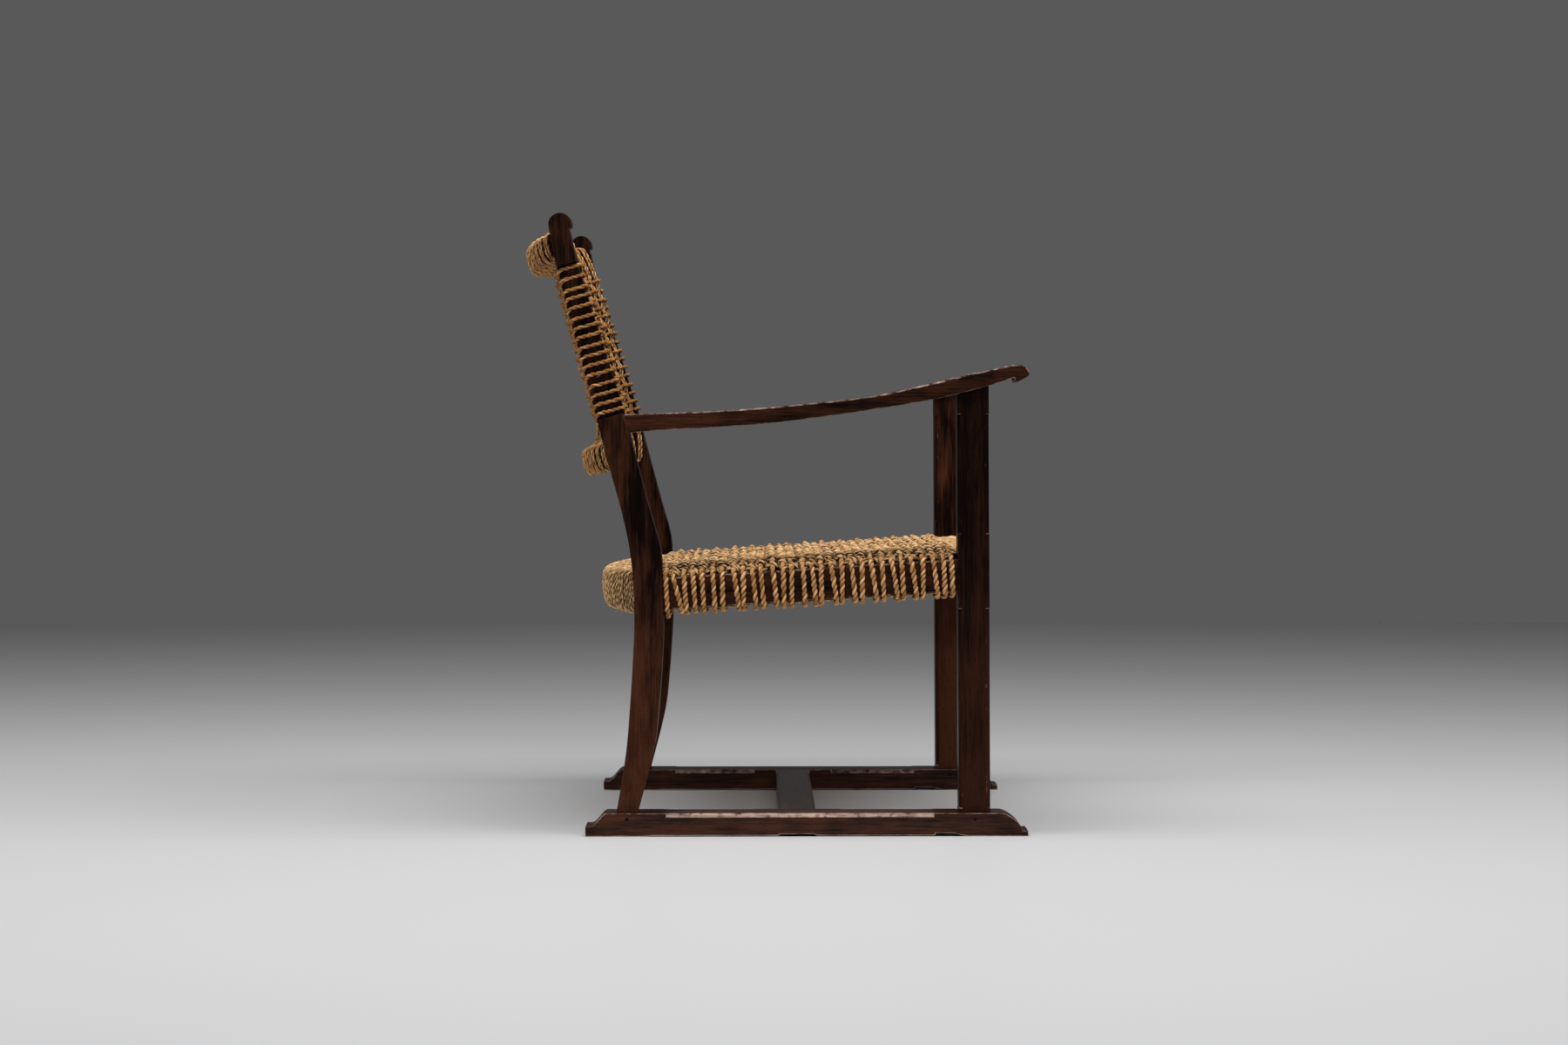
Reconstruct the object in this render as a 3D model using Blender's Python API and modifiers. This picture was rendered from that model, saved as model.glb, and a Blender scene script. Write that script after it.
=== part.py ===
"""Easy chair on sled runners, in dark stained wood, with a twisted straw rope seat and back.

The chair stands on z = 0 and faces -Y. The sitter's right is -X. Sizes are in metres. Side outlines are
given as (forward, height): forward is measured from the rear end of the runners, height from the floor.
"""
import math

import bmesh
import bpy
from mathutils import Matrix, Vector, kdtree

# Overall sizes and fits
CHAIR_WIDTH = 0.600
CLEARANCE = 0.0003
CHAMFER_STOP_SLOPE = 1.5
ROPE_GAP = 0.0005

# Runners, which are the sled base
RUNNER_LENGTH = 0.613
RUNNER_WIDTH = 0.054
RUNNER_HEIGHT = 0.032
RUNNER_REAR_FOOT = 0.078
RUNNER_FRONT_FOOT = 0.083
RUNNER_RELIEF = 0.004
RUNNER_RELIEF_SLOPE = 0.014
RUNNER_HEEL_HEIGHT = 0.0138
RUNNER_HEEL_STEP = 0.007
RUNNER_HEEL_SWEEP = 0.0226
RUNNER_TOE_HEIGHT = 0.0075
RUNNER_TOE_STEP = 0.0075
RUNNER_NOSE_LENGTH = 0.030
RUNNER_NOSE_FULLNESS = 1.5
RUNNER_CHAMFER = 0.006
RUNNER_CHAMFER_REAR = 0.112
RUNNER_CHAMFER_FRONT = 0.131

# Cross stretcher between the runners
STRETCHER_FORWARD = 0.294
STRETCHER_WIDTH = 0.052
STRETCHER_THICKNESS = 0.027
STRETCHER_SET_DOWN = 0.0005
STRETCHER_CHAMFER = 0.005
STRETCHER_CHAMFER_STOP = 0.010
STRETCHER_CHAMFER_BREAK = 0.060

# Posts and legs
POST_THICKNESS = 0.038
LEG_DEPTH = 0.0437
LEG_FORWARD = 0.5174
LEG_RAKE = math.radians(0.36)
LEG_CHAMFER = 0.005
LEG_CHAMFER_FOOT = 0.006
LEG_CHAMFER_HEAD = 0.032
LEG_SQUARE_BELOW_RAIL = 0.018
LEG_SQUARE_ABOVE_RAIL = 0.034
POST_REAR_EDGE = [
    (0.034, 0.0431), (0.099, 0.0540), (0.146, 0.0594), (0.278, 0.0676), (0.339, 0.0670), (0.393, 0.0623),
    (0.446, 0.0515), (0.526, 0.0296), (0.575, 0.0173), (0.788, -0.0385), (0.842, -0.0496),
]
POST_FRONT_EDGE = [
    (0.034, 0.0731), (0.101, 0.0905), (0.146, 0.0991), (0.278, 0.1084), (0.340, 0.1066), (0.393, 0.1055),
    (0.446, 0.0912), (0.556, 0.0618), (0.584, 0.0552), (0.795, -0.0109), (0.839, -0.0205),
]
POST_HEAD_FORWARD = -0.0335
POST_HEAD_HEIGHT = 0.845
POST_HEAD_RADIUS = 0.016
POST_HEAD_NOTCH = 0.001
POST_RECESS_DEPTH = 0.008
POST_RECESS_FOOT = 0.580
POST_RECESS_BELOW_HEAD = 0.054

# Arms
ARM_FRONT_WIDTH = 0.054
ARM_TOP = [
    (0.055, 0.5839), (0.095, 0.5852), (0.174, 0.5880), (0.253, 0.5934), (0.334, 0.6012), (0.402, 0.6097),
    (0.482, 0.6270), (0.558, 0.6448), (0.588, 0.6515),
]
ARM_UNDERSIDE = [
    (0.062, 0.5580), (0.095, 0.5614), (0.174, 0.5656), (0.254, 0.5716), (0.323, 0.5798), (0.402, 0.5912),
    (0.491, 0.6064), (0.558, 0.6236), (0.592, 0.6346),
]
ARM_SCROLL_FORWARD = 0.6008
ARM_SCROLL_HEIGHT = 0.6398
ARM_SCROLL_RADIUS = 0.0117
ARM_SCROLL_NOTCH = 0.0085

# Seat rails: the front and rear rails carry the warp, the side rails carry the weft
SEAT_REAR_FORWARD = 0.087
SEAT_REAR_HEIGHT = 0.3375
SEAT_FRONT_FORWARD = 0.538
SEAT_FRONT_HEIGHT = 0.366
SEAT_RAIL_THICKNESS = 0.026
SEAT_RAIL_DEPTH = 0.047
SEAT_BOW = 0.055
SIDE_RAIL_THICKNESS = 0.025
SIDE_RAIL_DEPTH = 0.0445
SIDE_RAIL_DROP = 0.005

# Back rails, bowed away from the sitter
BACK_TOP_BELOW_HEAD = 0.023
BACK_LOWER_HEIGHT = 0.530
BACK_RAIL_THICKNESS = 0.024
BACK_RAIL_DEPTH = 0.030
BACK_BOW = 0.050
BACK_PANEL_FORWARD = 0.012
BACK_PANEL_BOW = 0.037
RAIL_ROUND = 0.006

# Ropes
SEAT_WARP_ROPE = 0.006
SEAT_WARP_MARGIN = 0.004
SEAT_WEFT_ROPE = 0.007
SEAT_WEFT_TURNS = 22
SEAT_WEFT_MARGIN = 0.003
BACK_ROPE = 0.006
BACK_WARP_PAIRS = 10
BACK_WARP_PAIR_GAP = 0.0018
BACK_WARP_MARGIN = 0.014
BACK_WEFT_TURNS = 16
BACK_WEFT_GAP = 0.0015
ROPE_TAIL = 0.040

# Tenons and pegs
TENON_ROOT = 0.004
TENON_THICKNESS = 0.012
SIDE_TENON_LENGTH = 0.018
SIDE_TENON_DEPTH = 0.028
CROSS_TENON_LENGTH = 0.009
SEAT_TENON_DEPTH = 0.030
BACK_TENON_DEPTH = 0.018
ARM_TENON_LENGTH = 0.020
ARM_TENON_DEPTH = 0.014
LEG_TENON_WIDTH = 0.020
LEG_TENON_DEPTH = 0.022
LEG_HEAD_TENON_LENGTH = 0.013
LEG_FOOT_TENON_LENGTH = 0.022
STRETCHER_TENON_LENGTH = 0.018
STRETCHER_TENON_WIDTH = 0.034
STRETCHER_TENON_DEPTH = 0.014
PEG_DIAMETER = 0.005
PEG_BELOW_TOP = 0.008

# Fineness of curves
EDGE_STEPS = 16
ARC_STEPS = 8
BOW_STEPS = 6
PEG_SIDES = 12
GAP_STEP = 0.004
REACH_ROUNDS = 40
MERGE = 0.00001

# Colours as seen on the chair
DARK_WOOD = (0.055, 0.020, 0.012, 1.0)
WORN_WOOD = (0.085, 0.032, 0.018, 1.0)
STRAW = (0.42, 0.27, 0.14, 1.0)

# Values worked out from the sizes above
SIDES = (("right", -1), ("left", 1))
POST_X = (CHAIR_WIDTH - RUNNER_WIDTH) / 2
POST_INNER = POST_X - POST_THICKNESS / 2
POST_OUTER = POST_X + POST_THICKNESS / 2
POST_RECESS_HEAD = POST_HEAD_HEIGHT - POST_RECESS_BELOW_HEAD
BACK_TOP_HEIGHT = POST_HEAD_HEIGHT - BACK_TOP_BELOW_HEAD
FLOOR = Matrix.Identity(4)
OCTAGON = math.tan(math.pi / 8)


def clear_scene():
    """Remove what the scene holds, so that the script starts from nothing."""
    for item in list(bpy.data.objects):
        bpy.data.objects.remove(item, do_unlink=True)


def new_collection(name):
    """Add an empty collection to the scene."""
    collection = bpy.data.collections.new(name)
    bpy.context.scene.collection.children.link(collection)
    return collection


clear_scene()
CHAIR = new_collection("rustic_easy_chair")
JOINERY = new_collection("joinery_tools")
ORIGIN = bpy.data.objects.new("chair_origin", None)
CHAIR.objects.link(ORIGIN)


def finish(name, colour, roughness):
    """Plain Principled material for one piece."""
    material = bpy.data.materials.new(f"{name}_finish")
    material.use_nodes = True
    shader = material.node_tree.nodes["Principled BSDF"]
    shader.inputs["Base Color"].default_value = colour
    shader.inputs["Roughness"].default_value = roughness
    shader.inputs["Metallic"].default_value = 0.0
    return material


def add_part(name, data, colour=DARK_WOOD, roughness=0.35):
    """Put a mesh or curve in the chair as a named piece."""
    part = bpy.data.objects.new(name, data)
    CHAIR.objects.link(part)
    part.parent = ORIGIN
    data.materials.append(finish(name, colour, roughness))
    return part


def add_tool(name, mesh):
    """Put a mesh among the hidden shapes that cut or lengthen pieces."""
    tool = bpy.data.objects.new(name, mesh)
    JOINERY.objects.link(tool)
    tool.parent = ORIGIN
    tool.hide_render = True
    tool.display_type = "WIRE"
    return tool


def combine(part, tool, operation, solver="EXACT"):
    """Join a tool to a piece, or cut it away."""
    modifier = part.modifiers.new(tool.name, "BOOLEAN")
    modifier.operation = operation
    modifier.solver = solver
    modifier.object = tool


def mesh_from(bm, name):
    """Close a bmesh into a mesh whose faces point outwards."""
    bmesh.ops.recalc_face_normals(bm, faces=bm.faces)
    mesh = bpy.data.meshes.new(name)
    bm.to_mesh(mesh)
    bm.free()
    return mesh


def place(frame, x, forward, up):
    """Point in a frame whose own -Y is forward and +Z is up."""
    return frame @ Vector((x, -forward, up))


def frame_at(forward, height, lean):
    """Frame on the chair's middle plane, leaning back by an angle."""
    return Matrix.Translation((0, -forward, height)) @ Matrix.Rotation(-lean, 4, "X")


def block_mesh(name, frame, centre, size):
    """Box in a frame, with its centre and size given as (x, forward, up)."""
    bm = bmesh.new()
    x, forward, up = centre
    spot = frame @ Matrix.Translation((x, -forward, up)) @ Matrix.Diagonal((*size, 1))
    bmesh.ops.create_cube(bm, size=1, matrix=spot)
    return mesh_from(bm, name)


def tenon(member, host, frame, centre, size):
    """Lengthen a member by a tenon and cut its mortise, one clearance larger, in the host."""
    name = f"{member.name}_in_{host.name}"
    combine(member, add_tool(f"{name}_tenon", block_mesh(name, frame, centre, size)), "UNION")
    room = tuple(length + 2 * CLEARANCE for length in size)
    mortise = add_tool(f"{name}_mortise", block_mesh(name, frame, centre, room))
    combine(host, mortise, "DIFFERENCE", "MANIFOLD")


def cross_tenon(member, host, side, frame, forward, up, width, depth, length, face):
    """Tenon that runs sideways into a host whose inner face lies at this distance from the middle."""
    reach = length + TENON_ROOT
    centre = (side * (face + (length - TENON_ROOT) / 2), forward, up)
    tenon(member, host, frame, centre, (reach, width, depth))


def stopped_chamfer(part, start, end, size):
    """Flatten the edge between two points, with a slanted stop at each end."""
    along = end - start
    axis = along.normalized()
    across = Vector((0, 1, 0)) if abs(axis.x) > 0.5 else Vector((1, 0, 0))
    across = (across - axis * across.dot(axis)).normalized()
    turn = Matrix((across, axis.cross(across), axis)).transposed().to_4x4()
    stop = CHAMFER_STOP_SLOPE * size
    bm = bmesh.new()
    bmesh.ops.create_cone(bm, cap_ends=True, segments=4, radius1=size, radius2=size,
                          depth=along.length - 2 * stop)
    caps = [face for face in bm.faces if abs(face.normal.z) > 0.9]
    bmesh.ops.poke(bm, faces=caps, offset=stop)
    bmesh.ops.transform(bm, matrix=Matrix.Translation((start + end) / 2) @ turn, verts=bm.verts)
    count = len(part.modifiers)
    combine(part, add_tool(f"{part.name}_chamfer_{count}", mesh_from(bm, "chamfer")), "DIFFERENCE")


def plank_mesh(name, outline, thickness, x):
    """Board sawn to a side outline of (forward, height) points, with its thickness centred on x."""
    curve = bpy.data.curves.new(name, "CURVE")
    curve.dimensions = "2D"
    curve.fill_mode = "BOTH"
    curve.extrude = thickness / 2
    spline = curve.splines.new("POLY")
    spline.points.add(len(outline) - 1)
    for point, (forward, height) in zip(spline.points, outline):
        point.co = (forward, height, 0, 1)
    spline.use_cyclic_u = True
    sawn = bpy.data.objects.new(name, curve)
    JOINERY.objects.link(sawn)
    side_view = Matrix(((0, 0, -1, x), (-1, 0, 0, 0), (0, 1, 0, 0), (0, 0, 0, 1)))
    bpy.context.view_layer.update()
    graph = bpy.context.evaluated_depsgraph_get()
    flat = bpy.data.meshes.new_from_object(sawn.evaluated_get(graph))
    bpy.data.objects.remove(sawn, do_unlink=True)
    bm = bmesh.new()
    bm.from_mesh(flat)
    bmesh.ops.remove_doubles(bm, verts=bm.verts, dist=MERGE)
    bmesh.ops.transform(bm, matrix=side_view, verts=bm.verts)
    return mesh_from(bm, name)


def value_on(stations, position):
    """Value at a position on the smooth curve through (position, value) stations."""
    last = len(stations) - 1

    def slope(index):
        before, after = stations[max(index - 1, 0)], stations[min(index + 1, last)]
        return (after[1] - before[1]) / (after[0] - before[0])

    for end in (0, last):
        if (position - stations[end][0]) * (1 if end else -1) >= 0:
            return stations[end][1] + slope(end) * (position - stations[end][0])
    index = max(i for i in range(last) if stations[i][0] <= position)
    (start, first), (stop, second) = stations[index], stations[index + 1]
    step = stop - start
    t = (position - start) / step
    return (first * (1 + 2 * t) * (1 - t) ** 2 + second * t * t * (3 - 2 * t)
            + step * slope(index) * t * (1 - t) ** 2 + step * slope(index + 1) * t * t * (t - 1))


def evenly(start, stop, steps):
    """Evenly spaced values, both ends included."""
    return [start + (stop - start) * i / steps for i in range(steps + 1)]


def sawn_edge(stations, start, stop):
    """Points of a smooth edge as it is sawn, in short straight cuts."""
    return [(position, value_on(stations, position)) for position in evenly(start, stop, EDGE_STEPS)]


def straight_on(points, position):
    """Value at a position on the straight cuts between points."""
    index = max([i for i in range(len(points) - 1) if points[i][0] <= position], default=0)
    (start, first), (stop, second) = points[index], points[index + 1]
    return first + (second - first) * (position - start) / (stop - start)


def arc(centre, radius, start, stop):
    """Points on an arc, with its angles in degrees."""
    turns = [math.radians(angle) for angle in evenly(start, stop, ARC_STEPS)]
    return [(centre[0] + radius * math.cos(a), centre[1] + radius * math.sin(a)) for a in turns]


POST_FOOT = RUNNER_HEIGHT + CLEARANCE
POST_NECK = POST_HEAD_HEIGHT - POST_HEAD_RADIUS / 3
POST_REAR = sawn_edge(POST_REAR_EDGE, POST_FOOT, POST_NECK)
POST_FRONT = sawn_edge(POST_FRONT_EDGE, POST_FOOT, POST_NECK)


def post_rear(height):
    """Forward place of the rear edge of the rear posts."""
    return straight_on(POST_REAR, height)


def post_front(height):
    """Forward place of the front edge of the rear posts."""
    return straight_on(POST_FRONT, height)


def post_middle(height):
    """Forward place of the middle of the rear posts."""
    return (post_rear(height) + post_front(height)) / 2


def leg_rear(height):
    """Forward place of the rear face of the front legs, which rake back a little."""
    return LEG_FORWARD - math.tan(LEG_RAKE) * (height - RUNNER_HEIGHT)


def arm_top(forward):
    """Height of the top of the arms."""
    return value_on(ARM_TOP, forward)


def arm_underside(forward):
    """Height of the underside of the arms."""
    return value_on(ARM_UNDERSIDE, forward)


# The seat's own frame runs up and forward along the seat, the back's runs up along the back
SEAT_SPAN = math.hypot(SEAT_FRONT_FORWARD - SEAT_REAR_FORWARD, SEAT_FRONT_HEIGHT - SEAT_REAR_HEIGHT)
SEAT_SLOPE = math.atan2(SEAT_FRONT_HEIGHT - SEAT_REAR_HEIGHT, SEAT_FRONT_FORWARD - SEAT_REAR_FORWARD)
SEAT = frame_at(SEAT_REAR_FORWARD, SEAT_REAR_HEIGHT, SEAT_SLOPE)
SIDE_RAIL_TOP = SEAT_RAIL_DEPTH / 2 - SIDE_RAIL_DROP
SIDE_RAIL_FOOT = SIDE_RAIL_TOP - SIDE_RAIL_DEPTH
BACK_LOWER_FORWARD = post_middle(BACK_LOWER_HEIGHT)
BACK_TOP_FORWARD = post_middle(BACK_TOP_HEIGHT)
BACK_SPAN = math.hypot(BACK_TOP_FORWARD - BACK_LOWER_FORWARD, BACK_TOP_HEIGHT - BACK_LOWER_HEIGHT)
BACK_LEAN = math.atan2(BACK_LOWER_FORWARD - BACK_TOP_FORWARD, BACK_TOP_HEIGHT - BACK_LOWER_HEIGHT)
BACK = frame_at(BACK_LOWER_FORWARD, BACK_LOWER_HEIGHT, BACK_LEAN)
RECESS_FOOT = (POST_RECESS_FOOT - BACK_LOWER_HEIGHT) / math.cos(BACK_LEAN)
RECESS_HEAD = (POST_RECESS_HEAD - BACK_LOWER_HEIGHT) / math.cos(BACK_LEAN)
RECESS_SWEEP = 2 * (POST_RECESS_HEAD - POST_RECESS_FOOT)
BOW_STATIONS = evenly(-POST_INNER, POST_INNER, BOW_STEPS)


def bow_share(x):
    """Share of a rail's full bow at a distance from the middle, on the faceted rail."""
    share = [1 - (station / POST_INNER) ** 2 for station in BOW_STATIONS]
    step = BOW_STATIONS[1] - BOW_STATIONS[0]
    index = max(0, min(BOW_STEPS - 1, int((x + POST_INNER) / step)))
    t = (x - BOW_STATIONS[index]) / step
    return share[index] + (share[index + 1] - share[index]) * t


def reach(frame, edge, up):
    """Distance forward in a frame, at one height of it, to a side edge."""
    distance = 0.0
    for _ in range(REACH_ROUNDS):
        point = place(frame, 0, distance, up)
        distance += edge(point.z) + point.y
    return distance


def runner_outline():
    """Sled runner with two feet, a stepped heel and a rounded nose."""
    nose_start = RUNNER_LENGTH - RUNNER_TOE_STEP - RUNNER_NOSE_LENGTH
    nose_rise = RUNNER_HEIGHT - RUNNER_TOE_HEIGHT
    relief_end = RUNNER_LENGTH - RUNNER_FRONT_FOOT
    outline = [
        (0, 0),
        (RUNNER_REAR_FOOT, 0),
        (RUNNER_REAR_FOOT + RUNNER_RELIEF_SLOPE, RUNNER_RELIEF),
        (relief_end - RUNNER_RELIEF_SLOPE, RUNNER_RELIEF),
        (relief_end, 0),
        (RUNNER_LENGTH, 0),
        (RUNNER_LENGTH, RUNNER_TOE_HEIGHT),
    ]
    for t in evenly(1, 0, ARC_STEPS):
        rise = (1 - t ** RUNNER_NOSE_FULLNESS) ** (1 / RUNNER_NOSE_FULLNESS)
        outline.append((nose_start + RUNNER_NOSE_LENGTH * t, RUNNER_TOE_HEIGHT + nose_rise * rise))
    for t in evenly(1, 0, ARC_STEPS):
        rise = t * t * (3 - 2 * t) * (RUNNER_HEIGHT - RUNNER_HEEL_HEIGHT)
        outline.append((RUNNER_HEEL_STEP + RUNNER_HEEL_SWEEP * t, RUNNER_HEEL_HEIGHT + rise))
    outline.append((0, RUNNER_HEEL_HEIGHT))
    return outline


def make_runner(name, side):
    """Runner with stopped chamfers on its top edges, broken on the inside at the stretcher."""
    part = add_part(name, plank_mesh(name, runner_outline(), RUNNER_WIDTH, side * POST_X), WORN_WOOD)
    outer = side * (POST_X + RUNNER_WIDTH / 2)
    inner = side * (POST_X - RUNNER_WIDTH / 2)
    front = RUNNER_LENGTH - RUNNER_CHAMFER_FRONT
    runs = [
        (outer, RUNNER_CHAMFER_REAR, front),
        (inner, RUNNER_CHAMFER_REAR, STRETCHER_FORWARD - STRETCHER_CHAMFER_BREAK),
        (inner, STRETCHER_FORWARD + STRETCHER_CHAMFER_BREAK, front),
    ]
    for x, start, stop in runs:
        ends = [place(FLOOR, x, forward, RUNNER_HEIGHT) for forward in (start, stop)]
        stopped_chamfer(part, *ends, RUNNER_CHAMFER)
    return part


def make_stretcher(name):
    """Flat bar between the runners, with stopped chamfers on its top edges."""
    inner = POST_X - RUNNER_WIDTH / 2
    top = RUNNER_HEIGHT - STRETCHER_SET_DOWN
    size = (2 * (inner - CLEARANCE), STRETCHER_WIDTH, STRETCHER_THICKNESS)
    centre = (0, STRETCHER_FORWARD, top - STRETCHER_THICKNESS / 2)
    part = add_part(name, block_mesh(name, FLOOR, centre, size))
    for edge in (-1, 1):
        forward = STRETCHER_FORWARD + edge * STRETCHER_WIDTH / 2
        ends = [place(FLOOR, side * (inner - STRETCHER_CHAMFER_STOP), forward, top) for _, side in SIDES]
        stopped_chamfer(part, *ends, STRETCHER_CHAMFER)
    return part


def make_front_leg(name, side):
    """Raked front leg, cut off under the arm, with chamfers that stop at the seat."""
    foot = RUNNER_HEIGHT + CLEARANCE
    tallest = arm_top(LEG_FORWARD)
    head = [leg_rear(tallest) + LEG_DEPTH * t for t in (1, 0.5, 0)]
    outline = [(leg_rear(foot), foot), (leg_rear(foot) + LEG_DEPTH, foot)]
    outline += [(forward, arm_underside(forward) - CLEARANCE) for forward in head]
    part = add_part(name, plank_mesh(name, outline, POST_THICKNESS, side * POST_X))
    rail_top = place(SEAT, 0, SEAT_SPAN, SIDE_RAIL_TOP).z
    rail_foot = place(SEAT, 0, SEAT_SPAN, SIDE_RAIL_FOOT).z
    zones = [
        (foot + LEG_CHAMFER_FOOT, rail_foot - LEG_SQUARE_BELOW_RAIL),
        (rail_top + LEG_SQUARE_ABOVE_RAIL, arm_underside(LEG_FORWARD) - LEG_CHAMFER_HEAD),
    ]
    for start, stop in zones:
        for depth in (0, LEG_DEPTH):
            for edge in (-1, 1):
                x = side * POST_X + edge * POST_THICKNESS / 2
                ends = [place(FLOOR, x, leg_rear(height) + depth, height) for height in (start, stop)]
                stopped_chamfer(part, *ends, LEG_CHAMFER)
    return part


def make_rear_post(name, side):
    """Curved rear post with a rounded head, and an outer recess that the back rope lies in."""
    head = arc((POST_HEAD_FORWARD, POST_HEAD_HEIGHT), POST_HEAD_RADIUS, 180, -10)
    notch = (post_front(POST_NECK) - POST_HEAD_NOTCH, POST_NECK)
    outline = [(forward, height) for height, forward in POST_FRONT[:-1]]
    outline += [notch] + head[::-1]
    outline += [(forward, height) for height, forward in POST_REAR[-2::-1]]
    part = add_part(name, plank_mesh(name, outline, POST_THICKNESS, side * POST_X))
    centre = (side * POST_OUTER, 0, (RECESS_FOOT + RECESS_HEAD) / 2)
    size = (2 * POST_RECESS_DEPTH, RECESS_SWEEP, RECESS_HEAD - RECESS_FOOT)
    combine(part, add_tool(f"{name}_recess", block_mesh(name, BACK, centre, size)), "DIFFERENCE")
    return part


def make_arm(name, side):
    """Arm that rises to a small scroll in front and narrows in plan towards the post."""
    rear_top = ARM_TOP[0][1]
    rear_foot = ARM_UNDERSIDE[0][1]
    starts = [post_front(height) + CLEARANCE for height in (rear_top, rear_foot)]
    neck = ARM_SCROLL_FORWARD - ARM_SCROLL_RADIUS
    centre = (ARM_SCROLL_FORWARD, ARM_SCROLL_HEIGHT)
    outline = [(forward, arm_top(forward)) for forward in evenly(starts[0], neck, EDGE_STEPS)]
    outline += arc(centre, ARM_SCROLL_RADIUS, 100, -110)
    notch = ARM_SCROLL_FORWARD - ARM_SCROLL_NOTCH
    outline += [(forward, arm_underside(forward)) for forward in evenly(notch, starts[1], EDGE_STEPS)]
    mesh = plank_mesh(name, outline, ARM_FRONT_WIDTH, side * POST_X)
    tip = ARM_SCROLL_FORWARD + ARM_SCROLL_RADIUS
    for vertex in mesh.vertices:
        share = (-vertex.co.y - starts[0]) / (tip - starts[0])
        width = POST_THICKNESS + (ARM_FRONT_WIDTH - POST_THICKNESS) * share
        vertex.co.x = side * POST_X + (vertex.co.x - side * POST_X) * width / ARM_FRONT_WIDTH
    return add_part(name, mesh)


def make_side_rail(name, side):
    """Side rail of the seat, sloping up from the post to the front leg, with rounded edges."""
    outline = []
    for edge, gap, start, stop in (
        (post_front, CLEARANCE, SIDE_RAIL_TOP, SIDE_RAIL_FOOT),
        (leg_rear, -CLEARANCE, SIDE_RAIL_FOOT, SIDE_RAIL_TOP),
    ):
        for up in evenly(start, stop, 3):
            point = place(SEAT, 0, reach(SEAT, edge, up) + gap, up)
            outline.append((-point.y, point.z))
    bm = bmesh.new()
    bm.from_mesh(plank_mesh(name, outline, SIDE_RAIL_THICKNESS, side * POST_X))
    bmesh.ops.dissolve_limit(bm, angle_limit=0.01, verts=bm.verts, edges=bm.edges)
    long_edges = [edge for edge in bm.edges if edge.calc_length() > SEAT_SPAN / 2]
    round_edges(bm, long_edges)
    return add_part(name, mesh_from(bm, name))


def round_edges(bm, edges):
    """Round the edges that a rope bends over."""
    bmesh.ops.bevel(bm, geom=edges, offset=RAIL_ROUND, segments=2, profile=0.5, affect="EDGES", material=-1)


def make_cross_rail(name, frame, forward, up, thickness, depth, bow):
    """Rail between the posts or legs, with rounded edges, bowed backwards in the plane of its frame."""
    length = 2 * (POST_INNER - CLEARANCE)
    bm = bmesh.new()
    bmesh.ops.create_cube(bm, size=1, matrix=Matrix.Diagonal((length, thickness, depth, 1)))
    round_edges(bm, [edge for edge in bm.edges if edge.calc_length() > length / 2])
    for station in BOW_STATIONS[1:-1]:
        geometry = bm.verts[:] + bm.edges[:] + bm.faces[:]
        bmesh.ops.bisect_plane(bm, geom=geometry, plane_co=(station, 0, 0), plane_no=(1, 0, 0))
    for vertex in bm.verts:
        vertex.co.y += bow * bow_share(vertex.co.x)
    spot = frame @ Matrix.Translation((0, -forward, up))
    bmesh.ops.transform(bm, matrix=spot, verts=bm.verts)
    return add_part(name, mesh_from(bm, name))


def make_peg(name, side, forward, hosts):
    """Round peg across a runner and the tenon in it, in a hole that is one clearance larger."""
    height = RUNNER_HEIGHT - PEG_BELOW_TOP
    radius = PEG_DIAMETER / 2
    spot = Matrix.Translation((side * POST_X, -forward, height)) @ Matrix.Rotation(math.pi / 2, 4, "Y")

    def rod(size, length):
        bm = bmesh.new()
        bmesh.ops.create_cone(bm, cap_ends=True, segments=PEG_SIDES, radius1=size, radius2=size,
                              depth=length, matrix=spot)
        return mesh_from(bm, name)

    room = CLEARANCE / math.cos(math.pi / PEG_SIDES)
    hole = add_tool(f"{name}_hole", rod(radius + room, 2 * RUNNER_WIDTH))
    for host in hosts:
        combine(host, hole, "DIFFERENCE")
    part = add_part(name, rod(radius, RUNNER_WIDTH))
    part.data.shade_smooth()
    part.data.set_sharp_from_angle(angle=math.radians(40))
    return part


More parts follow.
